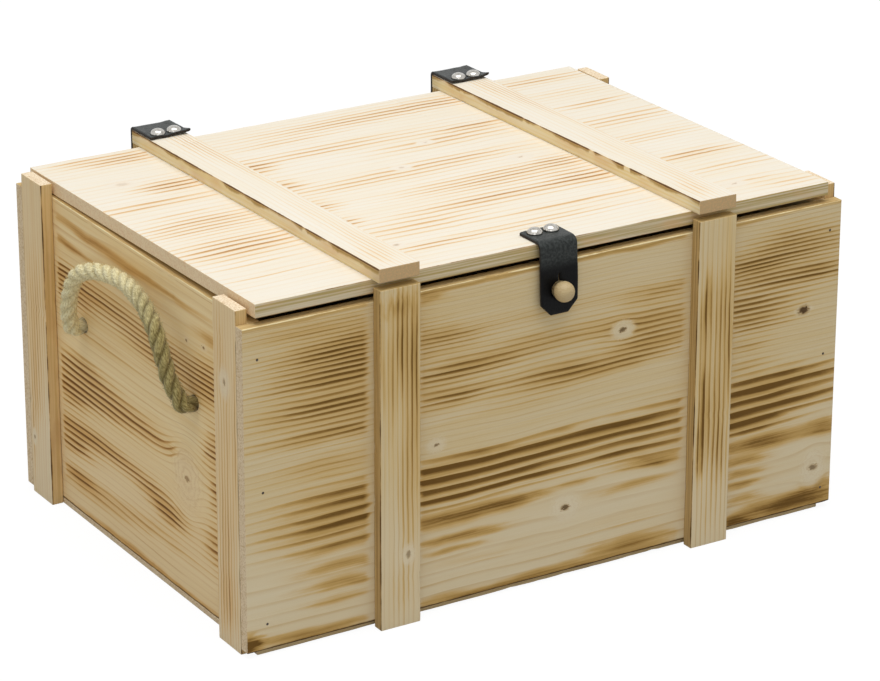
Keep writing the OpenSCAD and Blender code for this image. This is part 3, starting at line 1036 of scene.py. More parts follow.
# Linear forms of position: x, y, z and a constant
ALONG_X = (1, 0, 0, 0)
ALONG_Y = (0, 1, 0, 0)
ALONG_Z = (0, 0, 1, 0)
LID_SLOPE = math.tan(LID_AJAR)


def depth_from(axis, face, inward):
    """Depth below a face at this coordinate, going inward along plus or minus the axis."""
    form = [0, 0, 0, -face * inward]
    form[axis] = inward
    return tuple(form)


# Ring spacing over the height of the big panels, from the photograph's front
FRONT_RINGS = [
    (-20, 8), (20, 8), (34, 10), (46, 11.5), (62, 11.5), (70, 7.2), (108, 7.6), (116, 5),
    (124, 4.2), (150, 4.1), (180, 4.2), (190, 3.6), (200, 3.2), (260, 2.8),
]
FRONT_PATCHES = [
    # Left bay: burnt hardest just left of the batten
    (-160, 206, 55, 15, 1.0, 0.26), (-166, 188, 55, 9, 0.82, 0.21), (-166, 167, 59, 12, 1.0, 0.24),
    (-170, 149, 57, 6, 0.7, 0.21), (-176, 128, 46, 10, 0.4, 0.21), (-166, 98, 53, 13, 0.85, 0.24),
    (-170, 80, 53, 9, 0.72, 0.24), (-168, 66, 42, 5, 0.45, 0.34), (-166, 51, 36, 4, 0.3, 0.59),
    # The band at 233.5 along the whole top is painted shade under the lid's edge.
    (-166, 39, 32, 4, 0.35, 0.5), (-168, 28, 30, 4, 0.2, 0.3), (0, 233.5, 300, 2.2, 0.08, 0.55),
    (-192, 8, 46, 4, 0.1, 0.7), (-238, 8, 8, 8, 0.3, 1.2), (-200, 225, 51, 5, 0.29, 0.21),
    # Middle bay
    (-85, 196, 30, 8, 0.49, 0.16), (-70, 174, 42, 7, 0.82, 0.17), (-10, 180, 60, 8, 0.53, 0.16),
    (-78, 156, 34, 7, 0.82, 0.17), (0, 154, 40, 9, 0.71, 0.23), (74, 178, 40, 9, 0.82, 0.17),
    (80, 160, 38, 9, 0.92, 0.19), (52, 150, 44, 5, 0.49, 0.16), (88, 197, 30, 7, 0.57, 0.16),
    (0, 200, 80, 8, 0.21, 0.13), (-40, 140, 60, 7, 0.22, 0.07),
    (-80, 100, 56, 10, 1.6, 0.14), (-78, 84, 54, 9, 1.35, 0.12), (-16, 100, 60, 9, 1.2, 0.08),
    (-10, 84, 50, 7, 0.85, 0.07), (62, 101, 56, 10, 1.5, 0.11), (70, 84, 44, 8, 1.1, 0.1),
    (-80, 66, 46, 5, 0.2, 0.85), (-30, 67, 28, 4, 0.2, 0.6), (80, 71, 30, 4.5, 0.4, 0.35),
    (88, 70, 14, 5, 0.2, 0.25), (20, 68, 14, 3, 0.2, 0.3), (-76, 52, 36, 3.2, 0.2, 0.75),
    (66, 56, 36, 3.5, 0.15, 0.4), (-80, 43, 28, 2.6, 0.3, 0.45), (-60, 32, 44, 4, 0.3, 0.1),
    (50, 31, 60, 4, 0.35, 0.05), (66, 12, 36, 7, 0.2, 0.6), (-50, 7, 60, 3, 0.15, 0.5),
    (0, 5, 110, 2.5, 0.1, 0.5), (-100, 229, 14, 4, 0.08, 0.46),
    # Right bay
    (206, 208, 44, 14, 0.95, 0.13), (164, 198, 32, 10, 0.95, 0.11), (190, 186, 50, 6, 0.87, 0.1),
    (163, 172, 44, 9, 1.11, 0.11), (166, 157, 36, 7, 0.91, 0.11), (226, 184, 28, 8, 0.63, 0.1),
    (162, 141, 26, 6, 0.56, 0.09), (162, 126, 26, 5, 0.56, 0.09), (166, 112, 52, 6, 1.14, 0.11),
    (210, 106, 46, 8, 1.23, 0.11), (162, 99, 40, 8, 1.67, 0.15), (208, 90, 44, 7, 1.32, 0.11),
    (158, 84, 36, 7, 1.67, 0.17), (170, 76, 34, 4, 1.06, 0.15), (176, 64, 38, 5, 0.2, 0.95),
    (232, 64, 18, 7, 0.2, 0.7), (160, 53, 24, 3.4, 0.3, 0.6), (160, 43, 22, 3.2, 0.3, 0.55),
    (160, 34, 20, 3, 0.3, 0.5), (163, 24, 17, 3, 0.3, 0.4), (206, 12, 40, 7, 0.15, 1.28),
    (152, 7, 16, 5, 0.2, 1.08), (228, 22, 12, 6, 0.1, 0.5),
]
FRONT_KNOTS = [
    (55.6, 174.6, 2.0, 11, 7, 0.75, 0.5), (10.5, 52.2, 2.4, 13, 11, 0.8, 0.45),
    (-93.7, 122.4, 1.2, 9, 6, 0.6, 0.3), (210, 158, 3.4, 8, 4, 0.95, 0.35),
    (224, 34, 2.6, 12, 15, 0.6, 0.7),
]
LEFT_END_RINGS = [
    (-20, 6), (40, 5), (80, 4.4), (130, 4.8), (155, 4.2), (190, 4.2), (206, 9), (260, 12),
]
LEFT_END_PATCHES = [
    (70, 222, 60, 3.5, 0.11, 0.63), (-30, 219, 70, 3, 0.11, 0.53), (104, 206, 30, 3, 0.11, 0.63),
    (20, 205, 60, 3, 0.11, 0.38), (108, 176, 24, 13, 1.35, 0.13), (50, 178, 70, 12, 1.04, 0.09),
    (-60, 170, 66, 13, 1.14, 0.09), (-104, 176, 20, 14, 0.94, 0.11), (-106, 206, 22, 5, 0.11, 0.43),
    (88, 118, 40, 8, 1.35, 0.13), (84, 104, 52, 10, 1.56, 0.11), (106, 92, 26, 9, 1.35, 0.13),
    (20, 108, 56, 9, 0.94, 0.09), (-30, 104, 40, 6, 0.63, 0.07), (92, 68, 42, 8, 1.56, 0.18),
    (104, 54, 24, 7, 1.25, 0.15), (30, 70, 54, 7, 0.94, 0.09), (-20, 62, 34, 6, 0.84, 0.13),
    (-112, 126, 18, 16, 1.35, 0.11), (-114, 92, 15, 14, 1.25, 0.11), (-112, 56, 18, 14, 1.04, 0.13),
    (-40, 54, 26, 8, 0.94, 0.23), (60, 30, 60, 7, 0.52, 0.13), (-20, 34, 60, 7, 0.42, 0.09),
    (0, 6, 140, 3, 0.11, 0.53), (100, 30, 26, 8, 0.73, 0.23), (60, 146, 60, 5, 0.31, 0.07),
]
LEFT_END_KNOTS = [
    (-68, 92, 2.4, 20, 24, 0.5, 0.85), (-72, 194, 0.9, 4, 3, 0.8, 0.1),
    (-96, 197, 1.0, 5, 3, 0.8, 0.1),
]
LID_RINGS = [(-190, 6), (-150, 7), (-90, 7.5), (-20, 6), (50, 8), (110, 6.5), (190, 6)]
LID_PATCHES = [
    # Left bay
    (-163, 148, 32, 11, 1.38, 0.12), (-200, 156, 21, 6, 0.75, 0.03), (-163, 77, 23, 11, 1.88, 0.14),
    (-188, 46, 50, 7, 1.12, 0.04), (-183, -10, 44, 16, 1.5, 0.06), (-184, -62, 46, 20, 1.5, 0.06),
    (-195, -118, 42, 5, 0.88, 0.01), (-190, 20, 32, 6, 0.5, 0.01), (-190, -96, 32, 6, 0.5, 0.01),
    # Middle bay
    (30, 138, 94, 12, 1.12, 0.01), (88, 145, 29, 9, 1.12, 0.04), (-20, 88, 80, 10, 1.12, 0.01),
    (-50, 118, 52, 8, 0.75, 0.01), (-98, 76, 17, 12, 1.62, 0.07), (-100, 30, 15, 12, 1.5, 0.07),
    (-100, -20, 14, 12, 1.25, 0.05), (-104, -58, 13, 10, 1.12, 0.05), (86, 78, 27, 7, 1.5, 0.07),
    (56, 60, 50, 10, 1.12, 0.03), (40, -30, 69, 16, 1.38, 0.01), (94, -24, 17, 12, 1.25, 0.03),
    (92, -62, 23, 16, 1.25, 0.03), (26, -68, 78, 11, 1.38, 0.04), (60, -105, 63, 7, 1.12, 0.01),
    (-60, -90, 46, 14, 1, 0.01), (0, -125, 94, 7, 1, 0.01), (-70, -125, 32, 6, 1, 0.01),
    (-30, 10, 74, 14, 0.75, 0.01), (40, 20, 63, 10, 0.75, 0.01),
    # Right bay
    (190, 147, 40, 8, 1.0, 0.05), (192, 110, 46, 10, 0.45, 0.01), (192, 78, 32, 8, 0.95, 0.03),
    (190, 34, 50, 12, 0.9, 0.01), (180, -10, 46, 10, 0.75, 0.01), (188, -62, 34, 9, 1.2, 0.06),
    (198, -96, 44, 9, 0.8, 0.01), (210, -147, 27, 7, 0.75, 0.03), (180, -130, 36, 8, 0.55, 0.01),
]
LID_KNOTS = [
    (-191, 96, 3.4, 14, 11, 0.13, 0.3), (-7, 23, 1.6, 9, 7, 0.2, 0.2),
    (-94, -115, 1.8, 7, 6, 0.3, 0.2), (77, -2, 1.6, 12, 8, 0.25, 0.3),
    (171, -132, 1.3, 12, 8, 0.25, 0.2), (37, 63, 1.2, 8, 6, 0.2, 0.2),
]

# The lid's battens; across is counted from the batten's middle
LID_BATTEN_RINGS = [(-20, 3.4), (-4, 4.6), (6, 3), (20, 2.6)]
LID_BATTEN_PATCHES = [
    (120, 4, 40, 9, 0.7, 0.06), (90, 10, 50, 4, 0.6, 0.04), (-40, 2, 40, 8, 0.35, 0.02),
    (-120, 6, 44, 9, 0.5, 0.03), (-150, -4, 20, 8, 0.4, 0.1), (20, 12, 60, 3, 0.4, 0.03),
]
# Panel arrises: the bottom one charred; a brown line just under the top, partly scorch and partly painted shade of the
# lid; and a painted highlight on the top arris itself.
PANEL_ARRISES = [
    (BOTTOM_T, 0, 2.0, 3.0, 0.9, "char"), (PANEL_TOP - 2.6, 0, 0.9, 0.7, 0.5, "burn"),
    (PANEL_TOP, 0, 1.3, 0.9, 1.0, "bright"),
]
BATTEN_SHIELDS = [(-BATTEN_X, 16.0, 8.0), (BATTEN_X, 16.0, 8.0)]
CLEAT_SHIELDS = [(-CLEAT_Y, 17.0, 5.0), (CLEAT_Y, 17.0, 6.0)]

# Flame passes and knots of the four uprights that the photograph shows; along is the height
# and across is counted from the strip's middle
SEEN_STRIPS = {
    "front_left_batten": (
        # The band at 232 across the whole batten is painted shade under the lid batten.
        [(205, 3, 36, 8, 0.85, 0.1), (190, 12, 44, 3, 0.85, 0.18), (232, -2, 7, 14, 0.07, 0.3),
         (140, 8, 44, 6, 0.62, 0.04), (90, 6, 44, 8, 0.42, 0.03), (170, -8, 40, 4, 0.45, 0.04),
         (200, -14, 40, 2, 0.22, 0.24), (28, 0, 20, 10, 0.22, 0.02)],
        [(52, 6, 1.8, 8, 6, 0.45, 0.45)],
    ),
    "front_right_batten": (
        [(182, -8, 26, 5, 0.75, 0.22), (176, 5, 34, 8, 0.62, 0.04), (114, -9, 34, 4, 0.75, 0.18),
         (104, 3, 40, 8, 0.7, 0.07), (80, -10, 26, 4, 0.75, 0.15), (150, 12, 50, 3, 0.5, 0.08),
         (70, 4, 24, 8, 0.5, 0.04), (24, 0, 20, 10, 0.22, 0.02)],
        [],
    ),
    "front_left_cleat": (
        [(140, 0, 60, 14, 0.36, 0.02), (70, 4, 44, 12, 0.5, 0.04), (215, 8, 30, 6, 0.29, 0.05),
         (30, 0, 24, 14, 0.43, 0.06), (160, -13, 70, 2, 0.29, 0.12)],
        [(190, 1, 1.6, 12, 8, 0.5, 0.5)],
    ),
    "rear_left_cleat": (
        [(150, 0, 50, 14, 0.5, 0.04), (90, 3, 40, 12, 0.5, 0.04), (50, 12, 50, 4, 0.43, 0.06),
         (190, -14, 60, 2, 0.29, 0.18)],
        [(45, 10, 1.2, 7, 4, 0.6, 0.3)],
    ),
}


def random_patches(rng, lengths, widths, count, half_length, half_width, strength=1.0):
    """Flame passes for the places that the photograph doesn't show."""
    return [
        (
            rng.uniform(*lengths), rng.uniform(*widths),
            half_length * rng.uniform(0.6, 1.3), half_width * rng.uniform(0.5, 1.5),
            strength * rng.uniform(0.5, 1.1), strength * rng.uniform(0.0, 0.15),
        )
        for _ in range(count)
    ]


def upright_corners(axis, faces, sides, heights):
    """Low and high corners of an upright board that faces along X (0) or Y (1)."""
    spans = [sorted(sides), heights]
    spans.insert(axis, sorted(faces))
    return zip(*spans)


def build_panel(name, axis, side, board_seed, holes=(), **look):
    """One of the four big panels, facing along X (0) or Y (1)."""
    face = side * (END_X, FACE_Y)[axis]
    half_length = (FACE_Y - PANEL_T - JOINT_GAP, BOX_HALF_L)[axis]
    material = pine(
        f"{name}_pine", ((ALONG_Y, ALONG_X)[axis], ALONG_Z, depth_from(axis, face, -side)),
        arrises=PANEL_ARRISES, **look,
    )
    low, high = upright_corners(axis, (face, face - side * PANEL_T), (-half_length, half_length),
                                (BOTTOM_T, PANEL_TOP))
    board = rounded_board(f"{name}_board", low, high, board_seed, holes=holes)
    finish_piece(board, material, "box", "pine_panel", f"{name}_panel")


def build_panels():
    rng = random.Random(71)
    back_patches = [
        patch
        for bay in ((-215, -155), (-95, 95), (155, 215))
        for patch in random_patches(rng, bay, (25, 220), 10, 44, 9, 1.3)
    ] + [(-60, 10, 70, 5, 0.2, 0.8), (180, 12, 50, 7, 0.2, 0.9), (-190, 9, 40, 5, 0.1, 0.7)]
    right_patches = random_patches(rng, (-115, 115), (20, 220), 18, 44, 10, 1.2)
    right_patches.append((0, 7, 130, 3, 0.1, 0.5))
    back_knots = [(-40, 150, 2.4, 16, 11, 0.7, 0.6), (182, 70, 1.8, 12, 8, 0.7, 0.4)]
    right_knots = [(48, 62, 2.6, 18, 13, 0.7, 0.7)]
    look = dict(palette=FLAMED, spacings=FRONT_RINGS, shields=BATTEN_SHIELDS)
    build_panel("front", 1, -1, 1, patches=FRONT_PATCHES, knots=FRONT_KNOTS, seed=3.1, **look)
    build_panel("back", 1, 1, 2, patches=back_patches, knots=back_knots, seed=8.4, **look)
    look = dict(palette=LEFT_END, spacings=LEFT_END_RINGS, shields=CLEAT_SHIELDS, wave=4.0,
                breadth=0.5)
    for name, side, board_seed, patches, knots, seed in (
        ("left_end", -1, 3, LEFT_END_PATCHES, LEFT_END_KNOTS, 12.7),
        ("right_end", 1, 4, right_patches, right_knots, 17.3),
    ):
        holes = [(side * (END_X - PANEL_T / 2), y, ROPE_Z) for y in (-ROPE_Y, ROPE_Y)]
        build_panel(name, 0, side, board_seed, holes, patches=patches, knots=knots, seed=seed,
                    **look)

    base = pine(
        "bottom_pine", (ALONG_X, ALONG_Y, depth_from(2, 0, 1)), FLAMED,
        [(-180, 6), (-60, 9), (40, 5), (180, 8)], seed=21.0, burnt_depth=0.5, side_toast=0.6,
    )
    board = rounded_board("bottom", (-END_X, -BOTTOM_HALF_W, 0), (END_X, BOTTOM_HALF_W, BOTTOM_T),
                          5, arris=0.4)
    finish_piece(board, base, "box", "bottom_board", "bottom_board")


def lid_depth(top):
    """Depth below a level of the shut lid, as a linear form that turns with the ajar lid."""
    return (0, -LID_SLOPE, -1, top + HINGE_Y * LID_SLOPE)


def build_lid():
    material = pine(
        "lid_pine", (ALONG_X, ALONG_Y, lid_depth(LID_TOP)), PAINTED_LIT_CREAM, LID_RINGS, LID_PATCHES,
        LID_KNOTS,
        [(LID_FRONT_Y, 0, 0.5, 0.9, 0.85, "char"), (LID_FRONT_Y, 10, 0.5, 0.9, 0.7, "char")],
        [(-BATTEN_X, 15.0, 2.5), (BATTEN_X, 15.0, 2.5)], seed=30.2, wave=3.5, soak=0.09,
        breadth=0.35, side_toast=1.0, end_toast=0.9,
    )
    board = rounded_board(
        "lid_board", (-LID_HALF_L, LID_FRONT_Y, PANEL_TOP), (LID_HALF_L, LID_REAR_Y, LID_TOP), 6,
        place=on_lid,
    )
    finish_piece(board, material, "lid", "pine_lid", "lid_panel")

    half = STRIP_W / 2
    for word, side in (("left", -1), ("right", 1)):
        middle = side * BATTEN_X
        material = pine(
            f"{word}_lid_batten_pine", (ALONG_Y, ALONG_X, lid_depth(LID_TOP + LID_BATTEN_T)),
            LID_BATTEN, [(middle + off, spacing) for off, spacing in LID_BATTEN_RINGS],
            [(y, middle + off, *rest) for y, off, *rest in LID_BATTEN_PATCHES], (),
            [(middle - half, 0, 0.3, 6.0, 0.95, "shade"), (middle - half, 0, 0.6, 2.0, 1.0, "char"),
             (middle + half, 0, 0.4, 0.9, 0.7, "char")],
            seed=40.0 + side, burnt_depth=9.0, wave=1.2, soak=0.03, breadth=0.3,
            side_toast=0.95, end_toast=1.0,
        )
        board = rounded_board(
            f"{word}_lid_strip", (middle - half, LID_BATTEN_FRONT_Y, LID_TOP + JOINT_GAP),
            (middle + half, BATTEN_FACE_Y, LID_TOP + LID_BATTEN_T), 7 + side, place=on_lid,
        )
        finish_piece(board, material, "lid", "pine_lid", f"{word}_lid_batten")


def build_uprights():
    """The battens on the front and back and the cleats on the ends, two to a corner."""
    half = STRIP_W / 2
    strips = []
    for word_y, side_y in (("front", -1), ("rear", 1)):
        for word_x, side_x in (("left", -1), ("right", 1)):
            corner = f"{word_y}_{word_x}"
            strips.append((f"{corner}_batten", side_x * BATTEN_X, 1, side_y * BATTEN_FACE_Y,
                           side_y * FACE_Y))
            strips.append((f"{corner}_cleat", side_y * CLEAT_Y, 0, side_x * BOX_HALF_L,
                           side_x * END_X))
    for index, (node, middle, axis, outer, inner) in enumerate(strips):
        rng = random.Random(200 + index)
        rings = [(middle - 22, 3.4), (middle - 5, rng.uniform(3.6, 4.6)), (middle + 8, 3.8),
                 (middle + 22, rng.uniform(2.8, 3.8))]
        if node in SEEN_STRIPS:
            patches, knots = (
                [(z, middle + off, *rest) for z, off, *rest in rows] for rows in SEEN_STRIPS[node]
            )
        else:
            reach = (middle - 12, middle + 12)
            patches = random_patches(rng, (90, 225), reach, 5, 44, 7, 0.7)
            patches += random_patches(rng, (20, 90), reach, 2, 32, 7, 0.5)
            knots = [(rng.uniform(40, 200), middle + rng.uniform(-8, 8), 1.6, 9, 6, 0.5, 0.45)]
        inward = 1 if inner > outer else -1
        material = pine(
            f"{node}_pine", (ALONG_Z, (ALONG_Y, ALONG_X)[axis], depth_from(axis, outer, inward)),
            (CLEAT, BATTEN)[axis], rings, patches, knots,
            [(middle - half, 0, 0.6, 1.6, 0.85, "char"), (middle + half, 0, 0.5, 0.9, 0.7, "char")],
            seed=50.0 + index, burnt_depth=9.0, wave=1.0, soak=0.3, breadth=0.6,
            side_toast=0.85, end_toast=0.9,
        )
        corners = upright_corners(axis, (outer, inner), (middle - half, middle + half),
                                  (0, LID_TOP))
        board = rounded_board(f"{node}_strip", *corners, 20 + index)
        finish_piece(board, material, "box", "pine_strip", node)


# ---- Turned pieces ----

def lathe(name, profile, centre, axis, segments=48, place=None):
    """A solid turned from (radius, height) pairs about an axis through the centre."""
    bm = bmesh.new()
    turn = Vector(UP).rotation_difference(Vector(axis)).to_matrix()
    rings = []
    for radius, height in profile:
        ring = []
        for k in range(segments if radius else 1):
            a = 2 * math.pi * k / segments
            local = Vector((radius * math.cos(a), radius * math.sin(a), height))
            ring.append(bm.verts.new(turn @ local + Vector(centre)))
        rings.append(ring)
    for lower, upper in zip(rings, rings[1:]):
        for k in range(segments):
            n = (k + 1) % segments
            corners = [lower[k % len(lower)], lower[n % len(lower)],
                       upper[n % len(upper)], upper[k % len(upper)]]
            unique = list(dict.fromkeys(corners))
            if len(unique) > 2:
                bm.faces.new(unique)
    return new_object(name, bm, place=place)


def dome_profile():
    """An upholstery nail: a thin flared rim, a high dome, and its shank."""
    points = [(0, -8.0), (0.9, -6.8), (0.9, 0.05), (4.4, 0.05), (NAIL_R - 0.15, 0.0),
              (NAIL_R, 0.18)]
    rim_r, rim_h = NAIL_R - 0.25, 0.45
    steps = 12
    for i in range(steps + 1):
        a = math.radians(8 + 82 * i / steps)
        radius = rim_r * math.cos(a) if i < steps else 0
        points.append((radius, rim_h + (NAIL_H - rim_h) * math.sin(a)))
    return points


def build_nails():
    profile = dome_profile()
    back, up = (0, 1, 0), UP
    lid_nail_y = BATTEN_FACE_Y - HINGE_TOP_L + NAIL_EDGE
    lid_nail_z = LID_TOP + LID_BATTEN_T + HINGE_T
    rear_nail_z = HINGE_Z - HINGE_DROP + NAIL_EDGE
    strap_nail_y = LID_FRONT_Y + STRAP_TOP_L - NAIL_EDGE
    rows = (
        ("left_hinge_top", "lid", -BATTEN_X, lid_nail_y, lid_nail_z, up, "hinge_lid_nails"),
        ("left_hinge_rear", "box", -BATTEN_X, HINGE_Y, rear_nail_z, back, "hinge_box_nails"),
        ("right_hinge_top", "lid", BATTEN_X, lid_nail_y, lid_nail_z, up, None),
        ("right_hinge_rear", "box", BATTEN_X, HINGE_Y, rear_nail_z, back, None),
        ("strap", "lid", 0.0, strap_nail_y, LID_TOP + STRAP_T, up, "closure_strap_nails"),
    )
    for word, body, x, y, z, axis, node in rows:
        for number, side in enumerate((-1, 1), 1):
            nail = lathe(f"{word}_nail_{number}", profile, (x + side * NAIL_PITCH / 2, y, z), axis,
                         place=on_lid if body == "lid" else None)
            nodes = [node] if node and number == 1 else []
            finish_piece(nail, nickel(), body, "nickel_nail", *nodes)


def build_knob():
    """A ball with its neck and dowel, turned in one piece."""
    radius = KNOB_D / 2
    neck = KNOB_NECK_D / 2
    join = math.asin(neck / radius)
    profile = [(0, -radius)]
    steps = 22
    for i in range(1, steps + 1):
        a = math.pi * i / steps
        if a > math.pi - join:
            break
        flat = 0.985 if i == 1 else 1.0
        profile.append((radius * math.sin(a), -radius * math.cos(a) * flat))
    foot = -FACE_Y + KNOB_DOWEL_L - KNOB_AT[1]
    face = -FACE_Y - KNOB_AT[1]
    profile += [(neck * 1.08, radius * math.cos(join)), (neck, radius * math.cos(join) + 0.6),
                (neck, face + 0.3), (neck - 0.2, foot), (0, foot)]
    knob = lathe("knob", profile, KNOB_AT, (0, 1, 0))
    finish_piece(knob, beech(), "box", "beech_knob", "closure_knob")


def build_brads():
    """The small wire nails' heads that show as specks on the front and the back."""
    profile = [(0, -1.5), (0.5, -1.2), (0.5, -0.4), (0.85, -0.1), (0.95, 0.02), (0.8, 0.09),
               (0.3, 0.05), (0, 0.03)]
    places = [(x, side, z) for x, z in BRAD_SPOTS for side in (-1, 1)]
    for number, (x, side, z) in enumerate(places, 1):
        brad = lathe(f"brad_{number}", profile, (x, side * FACE_Y, z), (0, side, 0), segments=14)
        finish_piece(brad, brad_steel(), "box", "nickel_nail")


# ---- Leather ----

def line_points(start, end, count):
    return [Vector(start).lerp(Vector(end), i / count) for i in range(count)]


def arc_points(centre, radius, first, last, count):
    """Points on an arc in the YZ plane, angles in degrees from +Y towards +Z."""
    angles = [math.radians(first + (last - first) * i / count) for i in range(count)]
    return [Vector((centre[0] + radius * math.cos(a), centre[1] + radius * math.sin(a)))
            for a in angles]


def along_profile(profile):
    """A function from length along a flat profile to (point, outward normal) in YZ."""
    lengths = lengths_along(profile)

    def at(s):
        s = min(max(s, 0.0), lengths[-1])
        k = 0
        while k < len(profile) - 2 and lengths[k + 1] < s:
            k += 1
        a, b = profile[k], profile[k + 1]
        ahead = profile[min(k + 2, len(profile) - 1)]
        behind = profile[max(k - 1, 0)]
        share = (s - lengths[k]) / (lengths[k + 1] - lengths[k])
        point = a.lerp(b, share)
        direction = (b - behind).normalized().lerp((ahead - a).normalized(), share).normalized()
        return point, Vector((-direction.y, direction.x))
    return at, lengths[-1]


def rounded_outline(corners, step=1.2):
    """A closed outline from (x, y, radius) corners, as points about one step apart."""
    arcs = []
    steps = 5
    for i, (x, y, radius) in enumerate(corners):
        here = Vector((x, y))
        to_before = (Vector(corners[i - 1][:2]) - here).normalized()
        to_after = (Vector(corners[(i + 1) % len(corners)][:2]) - here).normalized()
        half = to_before.angle(to_after) / 2
        setback = radius / math.tan(half)
        centre = here + (to_before + to_after).normalized() * radius / math.sin(half)
        first, last = (here + way * setback - centre for way in (to_before, to_after))
        arcs.append([centre + first.lerp(last, k / steps).normalized() * radius
                     for k in range(steps + 1)])
    result = []
    for arc, following in zip(arcs, arcs[1:] + arcs[:1]):
        start, end = arc[-1], following[0]
        pieces = max(1, round((end - start).length / step))
        result += arc + [start.lerp(end, k / pieces) for k in range(1, pieces)]
    return result


def inset_outline(outline, distance):
    """The outline moved inward; for a hole, listed clockwise, that is into the leather."""
    result = []
    for before, point, after in zip(outline[-1:] + outline, outline, outline[1:] + outline[:1]):
        direction = (after - before).normalized()
        result.append(point + Vector((-direction.y, direction.x)) * distance)
    return result


def inside(point, polygon):
    """Whether a flat point lies in a polygon."""
    result = False
    for a, b in zip(polygon, polygon[1:] + polygon[:1]):
        if (a.y > point.y) != (b.y > point.y):
            if point.x < (b.x - a.x) * (point.y - a.y) / (b.y - a.y) + a.x:
                result = not result
    return result


def leather_triangles(loops, grid):
    """Points and triangles that fill the first loop but for the others."""
    def in_leather(p):
        return inside(p, loops[0]) and not any(inside(p, hole) for hole in loops[1:])

    flat, edges = [], []
    for loop in loops:
        start, count = len(flat), len(loop)
        flat += loop
        edges += [(start + k, start + (k + 1) % count) for k in range(count)]
    rim = list(flat)
    xs, ys = [p.x for p in loops[0]], [p.y for p in loops[0]]
    row = 0
    y = min(ys) + grid / 2
    while y < max(ys):
        x = min(xs) + grid * (0.5 if row % 2 else 1.0)
        while x < max(xs):
            p = Vector((x, y))
            if in_leather(p) and min((p - q).length for q in rim) > grid * 0.5:
                flat.append(p)
            x += grid
        y += grid * 0.87
        row += 1
    points, _, triangles, *_ = geometry.delaunay_2d_cdt(flat, edges, [], 0, 1e-6)
    kept = [triangle for triangle in triangles
            if in_leather(sum((points[i] for i in triangle), Vector((0, 0))) / 3)]
    return points, kept


def leather_piece(name, outline, holes, place, thickness, grid=1.6, edge=0.45):
    """Leather cut to an outline of (across, along) points and laid by place(u, s, height)."""
    half = thickness / 2
    loops = [outline, *holes]
    inner = [inset_outline(loop, edge) for loop in loops]
    points, triangles = leather_triangles(inner, grid)
    bm = bmesh.new()
    uv = bm.loops.layers.uv.new("UVMap")
    flat_of = {}

    def vert(p, height):
        made = bm.verts.new(place(p.x, p.y, height))
        flat_of[made] = p
        return made

    layers = []
    for height, order in ((half, 1), (-half, -1)):
        made = {}
        for triangle in triangles:
            for i in triangle:
                if i not in made:
                    made[i] = vert(points[i], height)
            bm.faces.new([made[i] for i in triangle[::order]])
        layers.append(made)
    start = 0
    for loop in loops:
        count = len(loop)
        top, bottom = ([layer[i] for i in range(start, start + count)] for layer in layers)
        upper, lower = ([vert(p, height) for p in loop] for height in (half - edge, edge - half))
        for a, b in ((top, upper), (upper, lower), (lower, bottom)):
            for k in range(count):
                n = (k + 1) % count
                face = bm.faces.new((a[k], a[n], b[n], b[k]))
                face.material_index = int(a is upper)
        start += count
    for face in bm.faces:
        for loop in face.loops:
            loop[uv].uv = flat_of[loop.vert] / UV_MM
    obj = new_object(name, bm)
    obj.data.materials.append(leather())
    obj.data.materials.append(leather_edge())
    return obj


def pressed_in(u, s, height, nails):
    """How far the nails' domes press the outer face of the leather in."""
    if height < 0:
        return 0.0
    return sum(
        DIMPLE_DEPTH * smoothstep(DIMPLE_R, DIMPLE_FLAT_R, math.hypot(u - nail_u, s - nail_s))
        for nail_u, nail_s in nails
    )


def build_hinges():
    """Each hinge is one strip of leather, from the lid batten's top down the rear batten."""
    middle_z = LID_TOP + LID_BATTEN_T + HINGE_T / 2 + HINGE_LIFT
    middle_y = BATTEN_FACE_Y + HINGE_T / 2 + HINGE_LIFT
    bend_y, bend_z = middle_y - HINGE_BEND_R, middle_z - HINGE_BEND_R
    foot = (middle_y, HINGE_Z - HINGE_DROP)
    at, length = along_profile(
        line_points((BATTEN_FACE_Y - HINGE_TOP_L, middle_z), (bend_y, middle_z), 8)
        + arc_points((bend_y, bend_z), HINGE_BEND_R, 90, 0, 6)
        + line_points((middle_y, bend_z), foot, 12) + [Vector(foot)]
    )
    half = STRIP_W / 2
    nails = [(sign * NAIL_PITCH / 2, s) for sign in (-1, 1) for s in (NAIL_EDGE, length - NAIL_EDGE)]
    ragged = rounded_outline([
        (-half, 0.0, 1.2), (half, 0.3, 1.6), (half - 0.15, length, 1.4),
        (-half + 0.1, length - 0.2, 1.2),
    ])
    start, end = ((0, HINGE_Y * MM, z) for z in HINGE_BLEND_Z)
    for word, side in (("left", -1), ("right", 1)):
        def place(u, s, height, side=side):
            (y, z), normal = at(s)
            wave = noise.noise(Vector((u * 0.11, s * 0.09, side * 5.0)))
            corner = math.hypot(max(0.0, abs(u) - 9), max(0.0, 7 - s))
            curl = max(0.0, u - 5) / (half - 5) * max(0.0, 8 - s) / 8
            rise = max(0.0, wave) * 0.25
            rise += 0.10 * corner * (1.0 if u > 0 else 0.45)
            rise += 0.045 * max(0.0, 4 - s) ** 2 * (0.4 + 0.6 * math.sin(u * 0.42 + side))
            rise += 1.1 * curl
            rise -= pressed_in(u, s, height, nails)
            y, z = Vector((y, z)) + normal * (height + max(rise, -0.3))
            still = Vector((side * BATTEN_X + u + 2.2 * curl, y, z))
            return still.lerp(on_lid(still), smoothstep(HINGE_Z - 2, HINGE_Z + 2, z))
        strip = leather_piece(f"{word}_hinge", ragged, (), place, HINGE_T)
        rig.blend(strip, "box", "lid", start=start, end=end)
        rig.slot(strip, "black_leather")
        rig.replaces(strip, f"{word}_hinge_lid_leaf", f"{word}_hinge_box_leaf")


